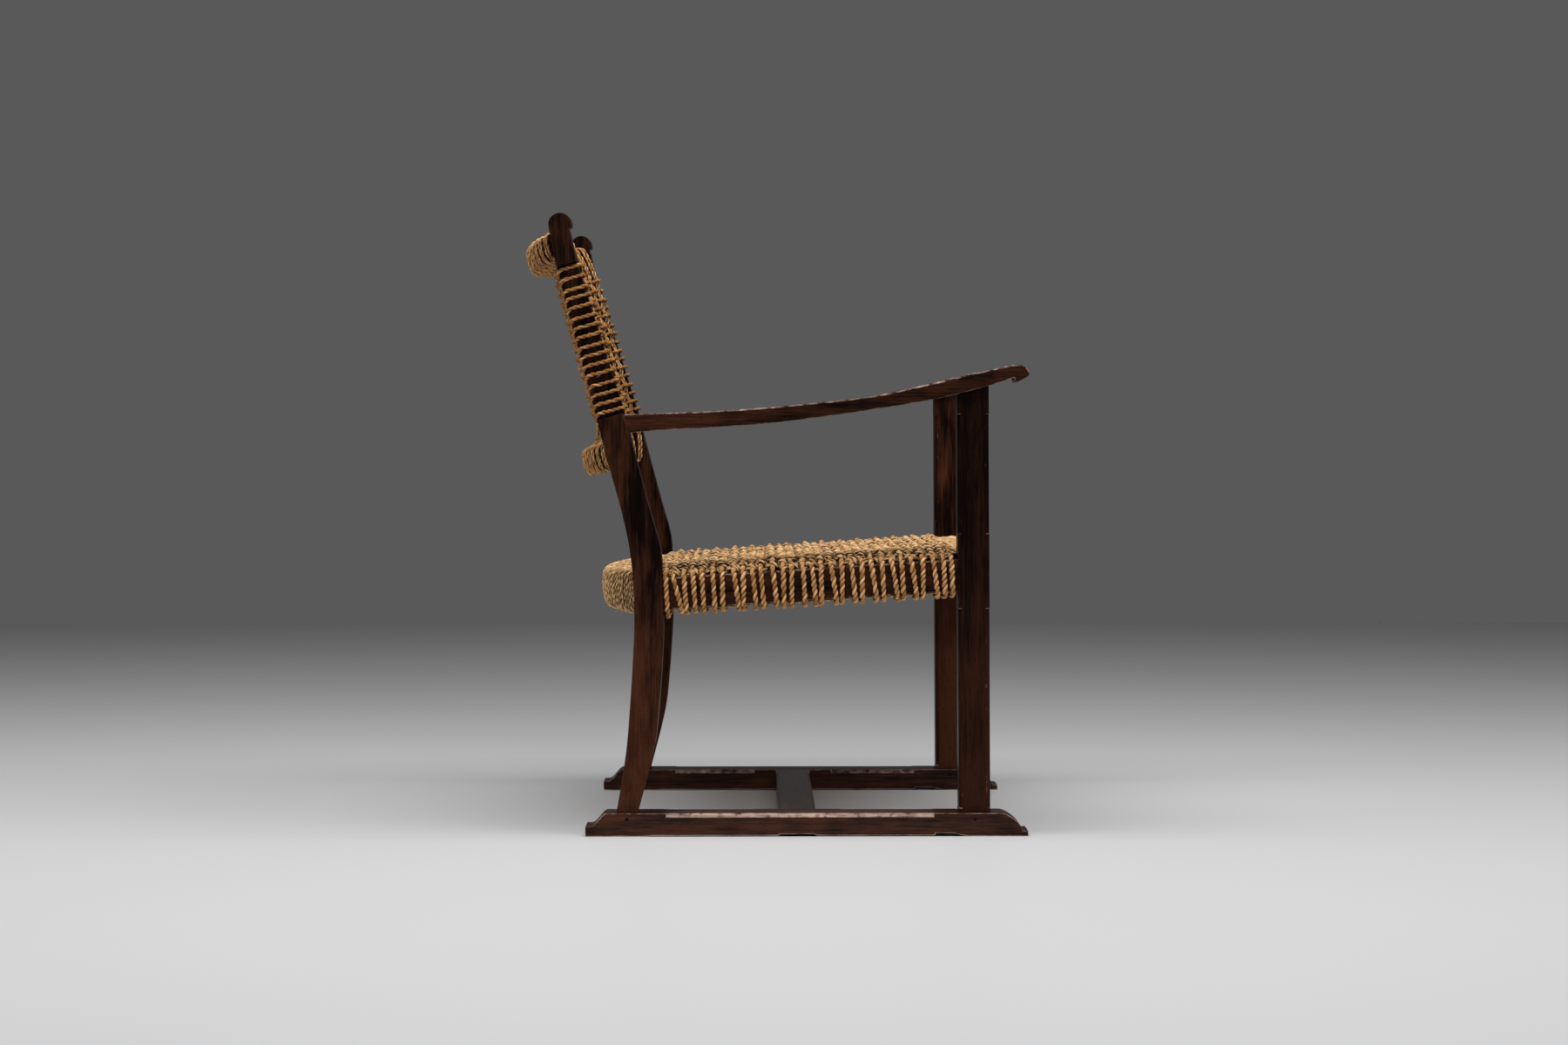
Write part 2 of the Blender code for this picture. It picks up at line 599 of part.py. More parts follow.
def make_warp_belt(name):
    """Seat warp: the closed sheet of ropes laid side by side round the front and rear rails."""
    off = ROPE_GAP + SEAT_WARP_ROPE / 2
    radius = RAIL_ROUND + off
    half_depth = SEAT_RAIL_DEPTH / 2 - RAIL_ROUND
    ends = (RAIL_ROUND - SEAT_RAIL_THICKNESS / 2, SEAT_SPAN + SEAT_RAIL_THICKNESS / 2 - RAIL_ROUND)
    corners = [(ends[1], half_depth, 0), (ends[0], half_depth, 90), (ends[0], -half_depth, 180),
               (ends[1], -half_depth, 270)]
    width = POST_INNER - SEAT_WARP_MARGIN
    stations = [-width] + BOW_STATIONS[1:-1] + [width]
    bm = bmesh.new()
    ring = []
    for forward, up, start in corners:
        for angle in (start, start + 45, start + 90):
            turn = math.radians(angle)
            along, above = radius * math.cos(turn), radius * math.sin(turn)
            ring.append(bm.verts.new((stations[0], -forward - along, up + above)))
    edges = [bm.edges.new((ring[i - 1], ring[i])) for i in range(len(ring))]
    for before, after in zip(stations, stations[1:]):
        grown = bmesh.ops.extrude_edge_only(bm, edges=edges)["geom"]
        edges = [item for item in grown if isinstance(item, bmesh.types.BMEdge)]
        fresh = [item for item in grown if isinstance(item, bmesh.types.BMVert)]
        bmesh.ops.translate(bm, vec=(after - before, 0, 0), verts=fresh)
    for vertex in bm.verts:
        share = min(1.0, max(0.0, 1 + vertex.co.y / SEAT_SPAN))
        vertex.co.y += SEAT_BOW * bow_share(vertex.co.x) * share
    bmesh.ops.transform(bm, matrix=SEAT, verts=bm.verts)
    part = add_part(name, mesh_from(bm, name), STRAW, 0.8)
    wall = part.modifiers.new("rope_thickness", "SOLIDIFY")
    wall.thickness = SEAT_WARP_ROPE
    wall.offset = 0
    wall.use_even_offset = True
    return part


def make_winding(name, route, diameter):
    """One unbroken rope along its route, as a six-sided tube, with its least gap to itself printed."""
    curve = bpy.data.curves.new(name, "CURVE")
    curve.dimensions = "3D"
    curve.bevel_depth = diameter / 2
    curve.bevel_resolution = 1
    curve.use_fill_caps = True
    spline = curve.splines.new("POLY")
    spline.points.add(len(route) - 1)
    for point, spot in zip(spline.points, route):
        point.co = (*spot, 1)
    print(f"{name}: least gap to itself {1000 * least_gap(route, diameter):.2f} mm")
    return add_part(name, curve, STRAW, 0.8)


def least_gap(route, diameter):
    """Least clear distance between stretches of a tube that are not next to each other along it."""
    spots = []
    for start, stop in zip(route, route[1:]):
        steps = max(1, math.ceil((stop - start).length / GAP_STEP))
        spots += [start.lerp(stop, i / steps) for i in range(steps)]
    tree = kdtree.KDTree(len(spots))
    for index, spot in enumerate(spots):
        tree.insert(spot, index)
    tree.balance()
    search = 4 * diameter
    near = [search]
    for index, spot in enumerate(spots):
        for _, other, distance in tree.find_range(spot, search):
            if abs(other - index) * GAP_STEP > 2 * search:
                near.append(distance)
    return min(near) - diameter


def seat_weft_route():
    """Weft of the seat: across the warp, round one side rail, back under it and round the other."""
    off = SEAT_WEFT_ROPE / 2 + ROPE_GAP
    bend = RAIL_ROUND - OCTAGON * (off + RAIL_ROUND)
    level = SEAT_RAIL_DEPTH / 2 + ROPE_GAP + SEAT_WARP_ROPE + off
    face = POST_X + SIDE_RAIL_THICKNESS / 2
    underside = min(-level, SIDE_RAIL_FOOT - off)
    half = [
        (POST_X - SIDE_RAIL_THICKNESS / 2, level),
        (face - bend, SIDE_RAIL_TOP + off),
        (face + off, SIDE_RAIL_TOP - bend),
        (face + off, underside + off + bend),
        (face - bend, underside),
    ]
    inset = SEAT_WEFT_MARGIN + off
    first = max(reach(SEAT, post_front, up) for up in (SIDE_RAIL_TOP, underside)) + inset
    last = min(reach(SEAT, leg_rear, up) for up in (level, underside)) - inset
    turns = evenly(first, last, SEAT_WEFT_TURNS - 1)
    route = [place(SEAT, -ROPE_TAIL, first, underside)]
    for forward in turns:
        route += [place(SEAT, -x, forward, up) for x, up in reversed(half)]
        route += [place(SEAT, x, forward, up) for x, up in half]
    route.append(place(SEAT, ROPE_TAIL, last, underside))
    return route


def back_panel(x):
    """Forward place, from the middle of the posts, of the woven back that the weft draws forward."""
    return BACK_PANEL_FORWARD - BACK_PANEL_BOW * bow_share(x)


def back_warp_route():
    """Warp of the back: pairs of turns round both rails, in two layers that lie together between them."""
    off = BACK_ROPE / 2 + ROPE_GAP
    face = BACK_RAIL_THICKNESS / 2 + off
    end = BACK_RAIL_DEPTH / 2 + off
    edge = POST_INNER - BACK_WARP_MARGIN
    step = (BACK_ROPE + BACK_WARP_PAIR_GAP) / 2
    places = [middle + offset for middle in evenly(step - edge, edge - step, BACK_WARP_PAIRS - 1)
              for offset in (-step, step)]

    def on_rail(x, forward, up):
        return place(BACK, x, forward - BACK_BOW * bow_share(x), up)

    def in_panel(x, forward, up):
        return place(BACK, x, back_panel(x) + forward, up)

    def turn(x):
        return [
            on_rail(x, face, -end), in_panel(x, off, RECESS_FOOT), in_panel(x, off, RECESS_HEAD),
            on_rail(x, face, BACK_SPAN + end), on_rail(x, -face, BACK_SPAN + end),
            on_rail(x, -face, BACK_SPAN - end), in_panel(x, -off, RECESS_HEAD),
            in_panel(x, -off, RECESS_FOOT), on_rail(x, -face, end), on_rail(x, -face, -end),
        ]

    return [spot for x in places for spot in turn(x)]


def back_weft_route():
    """Weft of the back: round the recess of one post, across the warp, and round the other post."""
    off = BACK_ROPE / 2 + ROPE_GAP
    level = off + BACK_ROPE + BACK_WEFT_GAP
    inner = POST_INNER - OCTAGON * off
    outer = POST_OUTER - POST_RECESS_DEPTH + off
    pitch = (RECESS_HEAD - RECESS_FOOT) / BACK_WEFT_TURNS
    stations = BOW_STATIONS[1:-1]
    middle = len(stations) // 2

    def across(x, face, up):
        return place(BACK, x, back_panel(x) + face * level, up)

    def round_post(side, up):
        front = reach(BACK, post_front, up) + off
        rear = reach(BACK, post_rear, up) - off
        panel = back_panel(POST_INNER)
        corner = [
            (inner, min(rear, panel - level)), (outer, rear),
            (outer, front), (inner, max(front, panel + level)),
        ]
        return [place(BACK, side * x, forward, up) for x, forward in corner]

    route = [across(x, -1, RECESS_FOOT + pitch / 2) for x in stations[middle::-1]]
    for index in range(BACK_WEFT_TURNS):
        up = RECESS_FOOT + pitch * (index + 0.5)
        route += round_post(-1, up)
        route += [across(x, 1, up) for x in stations]
        route += reversed(round_post(1, up))
        behind = stations[:middle - 1:-1] if index == BACK_WEFT_TURNS - 1 else stations[::-1]
        climb = 0 if index == BACK_WEFT_TURNS - 1 else pitch
        route += [across(x, -1, up + climb * (POST_INNER - x) / (2 * POST_INNER)) for x in behind]
    return route


def join_side(side, parts):
    """Cut the joints of one side of the chair."""
    runner, leg, post, arm, rail = parts
    x = side * POST_X
    mid_leg = leg_rear(RUNNER_HEIGHT) + LEG_DEPTH / 2
    mid_post = post_middle(RUNNER_HEIGHT)
    foot_size = (LEG_TENON_WIDTH, LEG_TENON_DEPTH, LEG_FOOT_TENON_LENGTH + TENON_ROOT)
    foot_up = RUNNER_HEIGHT + (TENON_ROOT - LEG_FOOT_TENON_LENGTH) / 2
    tenon(leg, runner, FLOOR, (x, mid_leg, foot_up), foot_size)
    tenon(post, runner, FLOOR, (x, mid_post, foot_up), foot_size)
    head = leg_rear(arm_underside(LEG_FORWARD)) + LEG_DEPTH / 2
    head_size = (LEG_TENON_WIDTH, LEG_TENON_DEPTH, LEG_HEAD_TENON_LENGTH + 2 * TENON_ROOT)
    head_up = arm_underside(head) + LEG_HEAD_TENON_LENGTH / 2 - TENON_ROOT
    tenon(leg, arm, FLOOR, (x, head, head_up), head_size)
    arm_mid = (ARM_TOP[0][1] + ARM_UNDERSIDE[0][1]) / 2
    arm_face = post_front(arm_mid)
    arm_size = (TENON_THICKNESS, ARM_TENON_LENGTH + 2 * TENON_ROOT, ARM_TENON_DEPTH)
    tenon(arm, post, FLOOR, (x, arm_face + TENON_ROOT - ARM_TENON_LENGTH / 2, arm_mid), arm_size)
    up = (SIDE_RAIL_TOP + SIDE_RAIL_FOOT) / 2
    size = (TENON_THICKNESS, SIDE_TENON_LENGTH + TENON_ROOT, SIDE_TENON_DEPTH)
    shift = (SIDE_TENON_LENGTH - TENON_ROOT) / 2
    tenon(rail, post, SEAT, (x, reach(SEAT, post_front, up) - shift, up), size)
    tenon(rail, leg, SEAT, (x, reach(SEAT, leg_rear, up) + shift, up), size)
    return (("front", mid_leg, leg), ("rear", mid_post, post))


def build_chair():
    """Make every piece, cut its joints and stand the chair with its middle over the origin."""
    stretcher = make_stretcher("cross_stretcher")
    seat_rail = (SEAT_RAIL_THICKNESS, SEAT_RAIL_DEPTH)
    back_rail = (BACK_RAIL_THICKNESS, BACK_RAIL_DEPTH)
    front_rail = make_cross_rail("seat_front_rail", SEAT, SEAT_SPAN, 0, *seat_rail, 0)
    rear_rail = make_cross_rail("seat_rear_rail", SEAT, 0, 0, *seat_rail, SEAT_BOW)
    top_rail = make_cross_rail("back_top_rail", BACK, 0, BACK_SPAN, *back_rail, BACK_BOW)
    lower_rail = make_cross_rail("back_lower_rail", BACK, 0, 0, *back_rail, BACK_BOW)
    for word, side in SIDES:
        runner = make_runner(f"runner_{word}", side)
        leg = make_front_leg(f"front_leg_{word}", side)
        post = make_rear_post(f"rear_post_{word}", side)
        arm = make_arm(f"arm_{word}", side)
        rail = make_side_rail(f"seat_side_rail_{word}", side)
        feet = join_side(side, (runner, leg, post, arm, rail))
        middle = RUNNER_HEIGHT - STRETCHER_SET_DOWN - STRETCHER_THICKNESS / 2
        cross_tenon(stretcher, runner, side, FLOOR, STRETCHER_FORWARD, middle, STRETCHER_TENON_WIDTH,
                    STRETCHER_TENON_DEPTH, STRETCHER_TENON_LENGTH, POST_X - RUNNER_WIDTH / 2)
        for member, host, frame, forward, up, depth in (
            (front_rail, leg, SEAT, SEAT_SPAN, 0, SEAT_TENON_DEPTH),
            (rear_rail, post, SEAT, 0, 0, SEAT_TENON_DEPTH),
            (top_rail, post, BACK, 0, BACK_SPAN, BACK_TENON_DEPTH),
            (lower_rail, post, BACK, 0, 0, BACK_TENON_DEPTH),
        ):
            cross_tenon(member, host, side, frame, forward, up, TENON_THICKNESS, depth, CROSS_TENON_LENGTH,
                        POST_INNER)
        for end, forward, upright in feet:
            make_peg(f"{end}_peg_{word}", side, forward, (runner, upright))
    make_warp_belt("seat_warp")
    make_winding("seat_weft", seat_weft_route(), SEAT_WEFT_ROPE)
    make_winding("back_warp", back_warp_route(), BACK_ROPE)
    make_winding("back_weft", back_weft_route(), BACK_ROPE)
    centre_over_origin()


def centre_over_origin():
    """Move the whole chair so that its box is centred over the origin."""
    bpy.context.view_layer.update()
    graph = bpy.context.evaluated_depsgraph_get()
    reach_y = [vertex.co.y for part in CHAIR.objects if part.type != "EMPTY"
               for vertex in part.evaluated_get(graph).to_mesh().vertices]
    ORIGIN.location.y = -(min(reach_y) + max(reach_y)) / 2
    print(f"rear end of the runners at y = {ORIGIN.location.y:.4f}")


build_chair()
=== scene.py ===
"""Dressed model of a rustic easy chair: worn dark timber, and a seat and back of twisted straw rope.

Sizes are in metres. The chair stands on z = 0 and faces -Y, and the sitter's right is -X. Side outlines are
given as (forward, height): forward is measured from the rear end of the runners, height from the floor.
"""
import math

import bmesh
import bpy
import numpy as np
from mathutils import Matrix, Vector


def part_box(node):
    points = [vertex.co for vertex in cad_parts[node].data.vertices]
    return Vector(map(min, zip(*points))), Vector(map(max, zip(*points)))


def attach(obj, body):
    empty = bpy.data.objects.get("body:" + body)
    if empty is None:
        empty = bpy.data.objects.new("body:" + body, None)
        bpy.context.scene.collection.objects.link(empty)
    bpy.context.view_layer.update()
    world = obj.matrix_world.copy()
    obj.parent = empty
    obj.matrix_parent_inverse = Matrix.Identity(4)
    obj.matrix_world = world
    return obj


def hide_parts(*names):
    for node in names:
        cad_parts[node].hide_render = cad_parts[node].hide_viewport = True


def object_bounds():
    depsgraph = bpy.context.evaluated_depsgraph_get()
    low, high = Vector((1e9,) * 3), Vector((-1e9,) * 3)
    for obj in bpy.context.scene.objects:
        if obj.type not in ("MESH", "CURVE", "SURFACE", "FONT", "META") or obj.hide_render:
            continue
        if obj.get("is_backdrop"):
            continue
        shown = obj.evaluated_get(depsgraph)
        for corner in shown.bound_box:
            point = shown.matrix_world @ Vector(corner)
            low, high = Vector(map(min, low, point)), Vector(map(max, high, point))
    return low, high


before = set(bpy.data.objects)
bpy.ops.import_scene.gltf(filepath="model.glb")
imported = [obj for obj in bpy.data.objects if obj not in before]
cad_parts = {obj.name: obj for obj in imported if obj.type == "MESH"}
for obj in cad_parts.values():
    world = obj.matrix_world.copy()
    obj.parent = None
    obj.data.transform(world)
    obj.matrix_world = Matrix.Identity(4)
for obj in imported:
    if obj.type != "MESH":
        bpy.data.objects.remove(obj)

bl_info = {
    "name": "Rustic Easy Chair",
    "version": (1, 0, 0),
    "blender": (4, 5, 0),
    "location": "3D View > Sidebar > Easy Chair",
    "description": "Dresses the solids of a rustic easy chair with worn timber and twisted straw rope",
    "category": "Object",
}

CAD_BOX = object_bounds()
SIDES = (("right", -1), ("left", 1))

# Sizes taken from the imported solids
RUNNER_LOW, RUNNER_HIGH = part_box("runner_right")
LEG_LOW, LEG_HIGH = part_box("front_leg_right")
REAR_Y = RUNNER_HIGH.y
RUNNER_LENGTH = RUNNER_HIGH.y - RUNNER_LOW.y
RUNNER_WIDTH = RUNNER_HIGH.x - RUNNER_LOW.x
RUNNER_HEIGHT = RUNNER_HIGH.z
POST_X = -(RUNNER_LOW.x + RUNNER_HIGH.x) / 2
POST_THICKNESS = LEG_HIGH.x - LEG_LOW.x
POST_INNER = POST_X - POST_THICKNESS / 2
POST_OUTER = POST_X + POST_THICKNESS / 2

# Runners and stretcher, with the hollows and the thin sole under a runner as (forward, height)
REAR_FOOT = 0.078
RUNNER_SOLE = [
    (0.092, 0.0011), (0.2666, 0.0012), (0.2690, 0.0034), (0.3170, 0.0034), (0.3205, 0.0012), (0.4840, 0.0012),
    (0.4846, 0.0046), (0.5080, 0.0046), (0.5300, 0.0),
]
HEEL_HEIGHT, HEEL_STEP, HEEL_SWEEP = 0.0138, 0.007, 0.0226
TOE_HEIGHT, TOE_STEP = 0.0075, 0.0075
NOSE_LENGTH, NOSE_FULLNESS = 0.030, 1.5
RUNNER_CHAMFER_REAR, RUNNER_CHAMFER_FRONT = 0.112, 0.131
STRETCHER_FORWARD, STRETCHER_WIDTH, STRETCHER_THICKNESS = 0.294, 0.052, 0.027
STRETCHER_SET_DOWN, STRETCHER_CHAMFER_STOP, STRETCHER_BREAK = 0.0005, 0.010, 0.060

# Legs, posts and arms: the edges of the posts are (height, forward), and arcs are in degrees
LEG_FORWARD, LEG_DEPTH, LEG_RAKE = 0.5174, 0.0437, math.radians(0.36)
LEG_CHAMFER_FOOT, LEG_CHAMFER_HEAD = 0.006, 0.0285
LEG_SQUARE_BELOW_RAIL, LEG_SQUARE_ABOVE_RAIL = 0.025, 0.034
POST_REAR_EDGE = [
    (0.034, 0.0431), (0.099, 0.0540), (0.146, 0.0594), (0.278, 0.0676), (0.339, 0.0670), (0.393, 0.0623),
    (0.446, 0.0515), (0.526, 0.0296), (0.575, 0.0173), (0.788, -0.0385), (0.842, -0.0496),
]
POST_FRONT_EDGE = [
    (0.034, 0.0731), (0.101, 0.0905), (0.146, 0.0991), (0.278, 0.1084), (0.340, 0.1066), (0.393, 0.1055),
    (0.446, 0.0912), (0.556, 0.0618), (0.584, 0.0552), (0.795, -0.0109), (0.839, -0.0205),
]
POST_HEAD = (-0.0335, 0.845)
POST_HEAD_RADIUS, POST_NECK = 0.016, 0.832
POST_BITE = [(-0.0196, 0.8340), (-0.0209, 0.8364), (-0.0216, 0.8388), (-0.0209, 0.8407), (-0.0179, 0.8413)]
POST_RECESS_DEPTH, POST_RECESS_FOOT, POST_RECESS_HEAD = 0.008, 0.580, 0.791
ARM_FRONT_WIDTH = 0.054
ARM_TOP = [
    (0.055, 0.5839), (0.095, 0.5852), (0.174, 0.5880), (0.253, 0.5934), (0.334, 0.6012), (0.402, 0.6097),
    (0.482, 0.6270), (0.558, 0.6448), (0.588, 0.6515),
]
ARM_UNDERSIDE = [
    (0.062, 0.5580), (0.095, 0.5614), (0.174, 0.5656), (0.254, 0.5716), (0.323, 0.5798), (0.402, 0.5912),
    (0.491, 0.6064), (0.558, 0.6236), (0.592, 0.6346),
]
ARM_SCROLL = (0.6008, 0.6398)
ARM_SCROLL_RADIUS = 0.0117
ARM_HOOK = [
    (0.6112, 0.6363), (0.6083, 0.6346), (0.6028, 0.6312), (0.5972, 0.6283), (0.5956, 0.6277),
    (0.5941, 0.6286), (0.5929, 0.6312), (0.5921, 0.6345),
]
ARM_HOOK_GAP = 0.002
POST_HEAD_ARC, ARM_SCROLL_ARC = (-6, 180), (100, -10)

# Rails of the seat and back, and pegs
SEAT_REAR, SEAT_FRONT = (0.087, 0.3375), (0.538, 0.366)
SEAT_RAIL_THICKNESS, SEAT_RAIL_DEPTH, SEAT_BOW = 0.026, 0.047, 0.055
SIDE_RAIL_THICKNESS, SIDE_RAIL_TOP, SIDE_RAIL_FOOT = 0.025, 0.0185, -0.026
BACK_LOWER_HEIGHT, BACK_TOP_HEIGHT = 0.530, 0.822
BACK_RAIL_THICKNESS, BACK_RAIL_DEPTH, BACK_BOW = 0.024, 0.030, 0.050
BACK_PANEL_FORWARD, BACK_PANEL_BOW = 0.012, 0.037
RAIL_ROUND, SIDE_RAIL_ROUND = 0.006, 0.002
PEG_BELOW_TOP, PEG_SIDES, PEG_DOME = 0.008, 24, 1.6

# How far a member runs into the one that holds it
HOUSED = 0.003

# Wear of cut faces, where a rounded edge has 1; the pale chamfer stops and runner chamfers are partly wear
# and partly painted highlight where they catch the light
EDGE_WEAR, STOP_WEAR_AND_HIGHLIGHT, RUNNER_OUTER_WEAR_AND_HIGHLIGHT, RUNNER_INNER_WEAR_AND_HIGHLIGHT = 1.0, 1.8, 1.2, 0.92

# How finely curves are cut, and how often a fit is worked out again
EDGE_STEPS, ARC_STEPS, BOW_STEPS, BEND_STEPS, LEG_HEAD_STEPS = 48, 18, 28, 4, 6
EDGE_SEGMENTS, ROUND_SEGMENTS, DOME_SEGMENTS = 2, 4, 3
FIT_ROUNDS = 40

# Limits that sort edges, faces and points
SHARP_CORNER, FOLD = math.radians(25), math.radians(40)
STRAIGHT, SIDEWAYS, RISING = 0.99, 0.9, 0.3
ON_PLANE, ON_EDGE, SAME_PLACE, TINY = 1e-6, 2e-5, 1e-5, 1e-9

# Settings


def measure(name, description, default, unit="LENGTH"):
    """Setting with a unit, in metres unless another is named."""
    return bpy.props.FloatProperty(name=name, description=description, default=default, unit=unit)


def tally(name, description, default):
    """Setting that counts ropes or straws."""
    return bpy.props.IntProperty(name=name, description=description, default=default)


def tint(name, description, *default):
    """Setting that is a colour, as linear red, green and blue."""
    return bpy.props.FloatVectorProperty(
        name=name, description=description, default=(*default, 1), subtype="COLOR", size=4)


class TimberSizes(bpy.types.PropertyGroup):
    """Sizes of the worn timber that a user may change."""

    edge_round: measure("Edge rounding", "Rounding of sawn edges", 0.0006)
    arm_round: measure("Arm rounding", "Rounding of the top edges of the arms", 0.0018)
    wear_band: measure("Wear band", "How far wear reaches in from an edge", 0.0010)
    runner_chamfer: measure("Runner chamfer", "Stopped chamfer on the runners", 0.0048)
    stretcher_chamfer: measure("Stretcher chamfer", "Stopped chamfer on the stretcher", 0.005)
    leg_chamfer: measure("Leg chamfer", "Stopped chamfer on the front legs", 0.005)
    peg_diameter: measure("Peg diameter", "Pegs through the runners", 0.005)
    peg_proud: measure("Peg head", "How far a peg stands proud", 0.0005)


class RopeSizes(bpy.types.PropertyGroup):
    """Sizes and counts of the straw rope that a user may change."""

    seat_warp_count: tally("Seat warps", "Ropes laid side by side from front to rear, a multiple of four", 72)
    seat_warp_width: measure("Seat warp width", "Width over both plies", 0.0059)
    seat_weft_width: measure("Seat weft width", "Width over both plies", 0.0078)
    back_pairs: tally("Back warp pairs", "Pairs of ropes from rail to rail", 17)
    back_turns: tally("Back weft turns", "Rope turns round each post", 16)
    back_width: measure("Back rope width", "Width over both plies", 0.0056)
    seat_lay: measure("Seat rope lay", "Length of one full turn of the plies", 0.0180)
    back_lay: measure("Back rope lay", "Length of one full turn of the plies", 0.0178)
    fibres: tally("Loose fibres", "Straw ends that stand off the ropes", 320)


class ChairColours(bpy.types.PropertyGroup):
    """Colours of the timber and the rope."""

    wood_dark: tint("Dark stain", "Stain in the grain", 0.0040, 0.0016, 0.0012)
    wood_light: tint("Light stain", "Stain between the grain", 0.036, 0.0118, 0.0056)
    wood_worn: tint("Worn wood", "Wood where the stain is rubbed off", 0.46, 0.310, 0.250)
    straw_pale: tint("Pale straw", "Palest fibres of the seat warp", 0.95, 0.610, 0.300)
    straw_aged: tint("Aged straw", "Palest fibres of the seat weft and the back", 0.88, 0.515, 0.235)
    straw_brown: tint("Brown straw", "Brown fibres", 0.30, 0.126, 0.030)
    # This colour is grime and painted shade between the plies and the ropes
    straw_dirt_and_shade: tint("Straw dirt", "Dirt between the plies and the ropes", 0.048, 0.0165, 0.004)


class StageSettings(bpy.types.PropertyGroup):
    """Floor, backdrop, light and camera."""

    floor_colour: tint("Floor", "Colour of the floor", 0.60, 0.60, 0.605)
    wall_colour: tint("Backdrop", "Colour behind the floor", 0.10, 0.10, 0.10)
    floor_reach: measure("Floor reach", "From the middle of the floor to its edges", 4.27)
    key_power: measure("Key light", "Power of the light overhead", 180.0, "POWER")
    fill_power: measure("Fill light", "Power of the light on the sitter's right", 36.0, "POWER")
    sky_light: measure("Room light", "Brightness of the light from all around", 0.03, "NONE")
    lens: measure("Lens", "Focal length", 72.16, "CAMERA")


# Shader maths


class Value:
    """Output socket of a shader node, so that shader maths reads as plain expressions."""

    def __init__(self, finish, socket):
        self.finish = finish
        self.socket = socket

    def maths(self, operation, first, second):
        """Add a Math node."""
        return self.finish.node("ShaderNodeMath", {"operation": operation}, {0: first, 1: second})

    def __add__(self, other):
        return self.maths("ADD", self, other)

    def __radd__(self, other):
        return self.maths("ADD", other, self)

    def __sub__(self, other):
        return self.maths("SUBTRACT", self, other)

    def __rsub__(self, other):
        return self.maths("SUBTRACT", other, self)

    def __mul__(self, other):
        return self.maths("MULTIPLY", self, other)

    def __rmul__(self, other):
        return self.maths("MULTIPLY", other, self)

    def __abs__(self):
        return self.maths("ABSOLUTE", self, 0.0)

    def output(self, name):
        """Another output of the same node."""
        return Value(self.finish, self.socket.node.outputs[name])


class Finish:
    """Node tree of a material or the world, with one method that adds its nodes."""

    def __init__(self, owner):
        owner.use_nodes = True
        self.owner = owner
        self.tree = owner.node_tree

    def put(self, target, value):
        """Link a value to an input socket, or set it there."""
        if isinstance(value, Value):
            self.tree.links.new(value.socket, target)
        else:
            target.default_value = value

    def node(self, kind, settings=None, inputs=None, output=0):
        """Add a node with its settings and inputs, and give one of its outputs."""
        fresh = self.tree.nodes.new(kind)
        for name, setting in (settings or {}).items():
            setattr(fresh, name, setting)
        for name, value in (inputs or {}).items():
            self.put(fresh.inputs[name], value)
        return Value(self, fresh.outputs[output])

    def place(self):
        """Place on the chair."""
        return self.node("ShaderNodeTexCoord", output="Object")

    def attribute(self, name, output="Fac"):
        """What the points of a mesh are marked with."""
        return self.node("ShaderNodeAttribute", {"attribute_name": name}, output=output)

    def mix(self, share, first, second):
        """Mix two colours."""
        return self.node("ShaderNodeMix", {"data_type": "RGBA"}, {0: share, 6: first, 7: second}, 2)

    def noise(self, place, scale, detail, roughness=0.5):
        """Noise of about 1 / scale metres."""
        inputs = {"Vector": place, "Scale": scale, "Detail": detail, "Roughness": roughness}
        return self.node("ShaderNodeTexNoise", None, inputs)

    def spread(self, value, low, high):
        """Stretch a range of values smoothly over 0 to 1."""
        inputs = {"Value": value, "From Min": low, "From Max": high}
        return self.node("ShaderNodeMapRange", {"interpolation_type": "SMOOTHSTEP"}, inputs)

    def scaled(self, place, scale):
        """Stretch a pattern along the axes."""
        return self.node("ShaderNodeMapping", None, {"Vector": place, "Scale": scale})

    def bump(self, relief, strength, distance):
        """Direction of a surface with a relief on it."""
        inputs = {"Height": relief, "Strength": strength, "Distance": distance}
        return self.node("ShaderNodeBump", None, inputs)

    def surface(self, values):
        """Set or link the sockets of the material's own shader."""
        shader = self.tree.nodes["Principled BSDF"]
        for name, value in values.items():
            self.put(shader.inputs[name], value)
        return self.owner


def shade(colour, share=1.0):
    """A colour made lighter or darker."""
    return tuple(min(1, level * share) for level in colour[:3]) + (1,)


# Noise of wood, straw and floor, as scale, detail and roughness
BANDS, STREAKS, PORES = (60, 3, 0.55), (420, 4, 0.62), (1500, 2, 0.5)
FIGURE, PATCHES, MOTTLE = (34, 3, 0.6), (75, 4, 0.65), (210, 3, 0.6)
FIBRES, LENGTHS, SOILING = (2300, 2, 0.55), (110, 3, 0.6), (26, 3, 0.6)
LOOSE_TONE, FLOOR_CLOUD = (60, 2), (1.3, 2)

# Scales that draw patterns out along the grain of the wood, and fit them round and along the strand of a rope
GRAIN_AXES = {"across": 0, "forward": 1, "upright": 2}
GRAIN_SCALE, FIGURE_SCALE = 0.045, 0.3
FIBRE_SCALE, LENGTH_SCALE = (0.0022, 0.0022, 0.035), (0.012, 0.004, 0.5)

# Ranges over which a pattern goes from one look to the other
PORE_RANGE, STAIN_RANGE, RUB_RANGE, WORN_RANGE = (0.56, 0.68), (0.45, 0.80), (0.46, 0.80), (0.25, 0.85)
FLOOR_LIGHT_RANGE, STRAW_RANGE, PLY_RANGE, LOOSE_RANGE = (0.50, 0.04), (0.66, 1.20), (-0.3, 0.3), (0.35, 0.65)

# Shares that pores, scuffs and worn wood take, and painted light on uprights: how much paler they are painted
# below, for light from the floor, and darker above, for shade under the arms
PORE_SHARE, SCUFF_SHARE, WORN_SHARE, PAINTED_FLOOR_LIGHT, PAINTED_SHADE_ABOVE = 0.7, 0.8, 0.85, 0.20, 0.06

# Shades of pores and worn wood, width of the groove between plies, and reliefs as (strength, depth)
PORE_SHADE, WORN_SHADES, GROOVE_WIDTH = 0.5, (0.25, 1.2), 0.4
WOOD_RELIEF, STRAW_RELIEF = (0.22, 0.0006), (0.40, 0.0007)


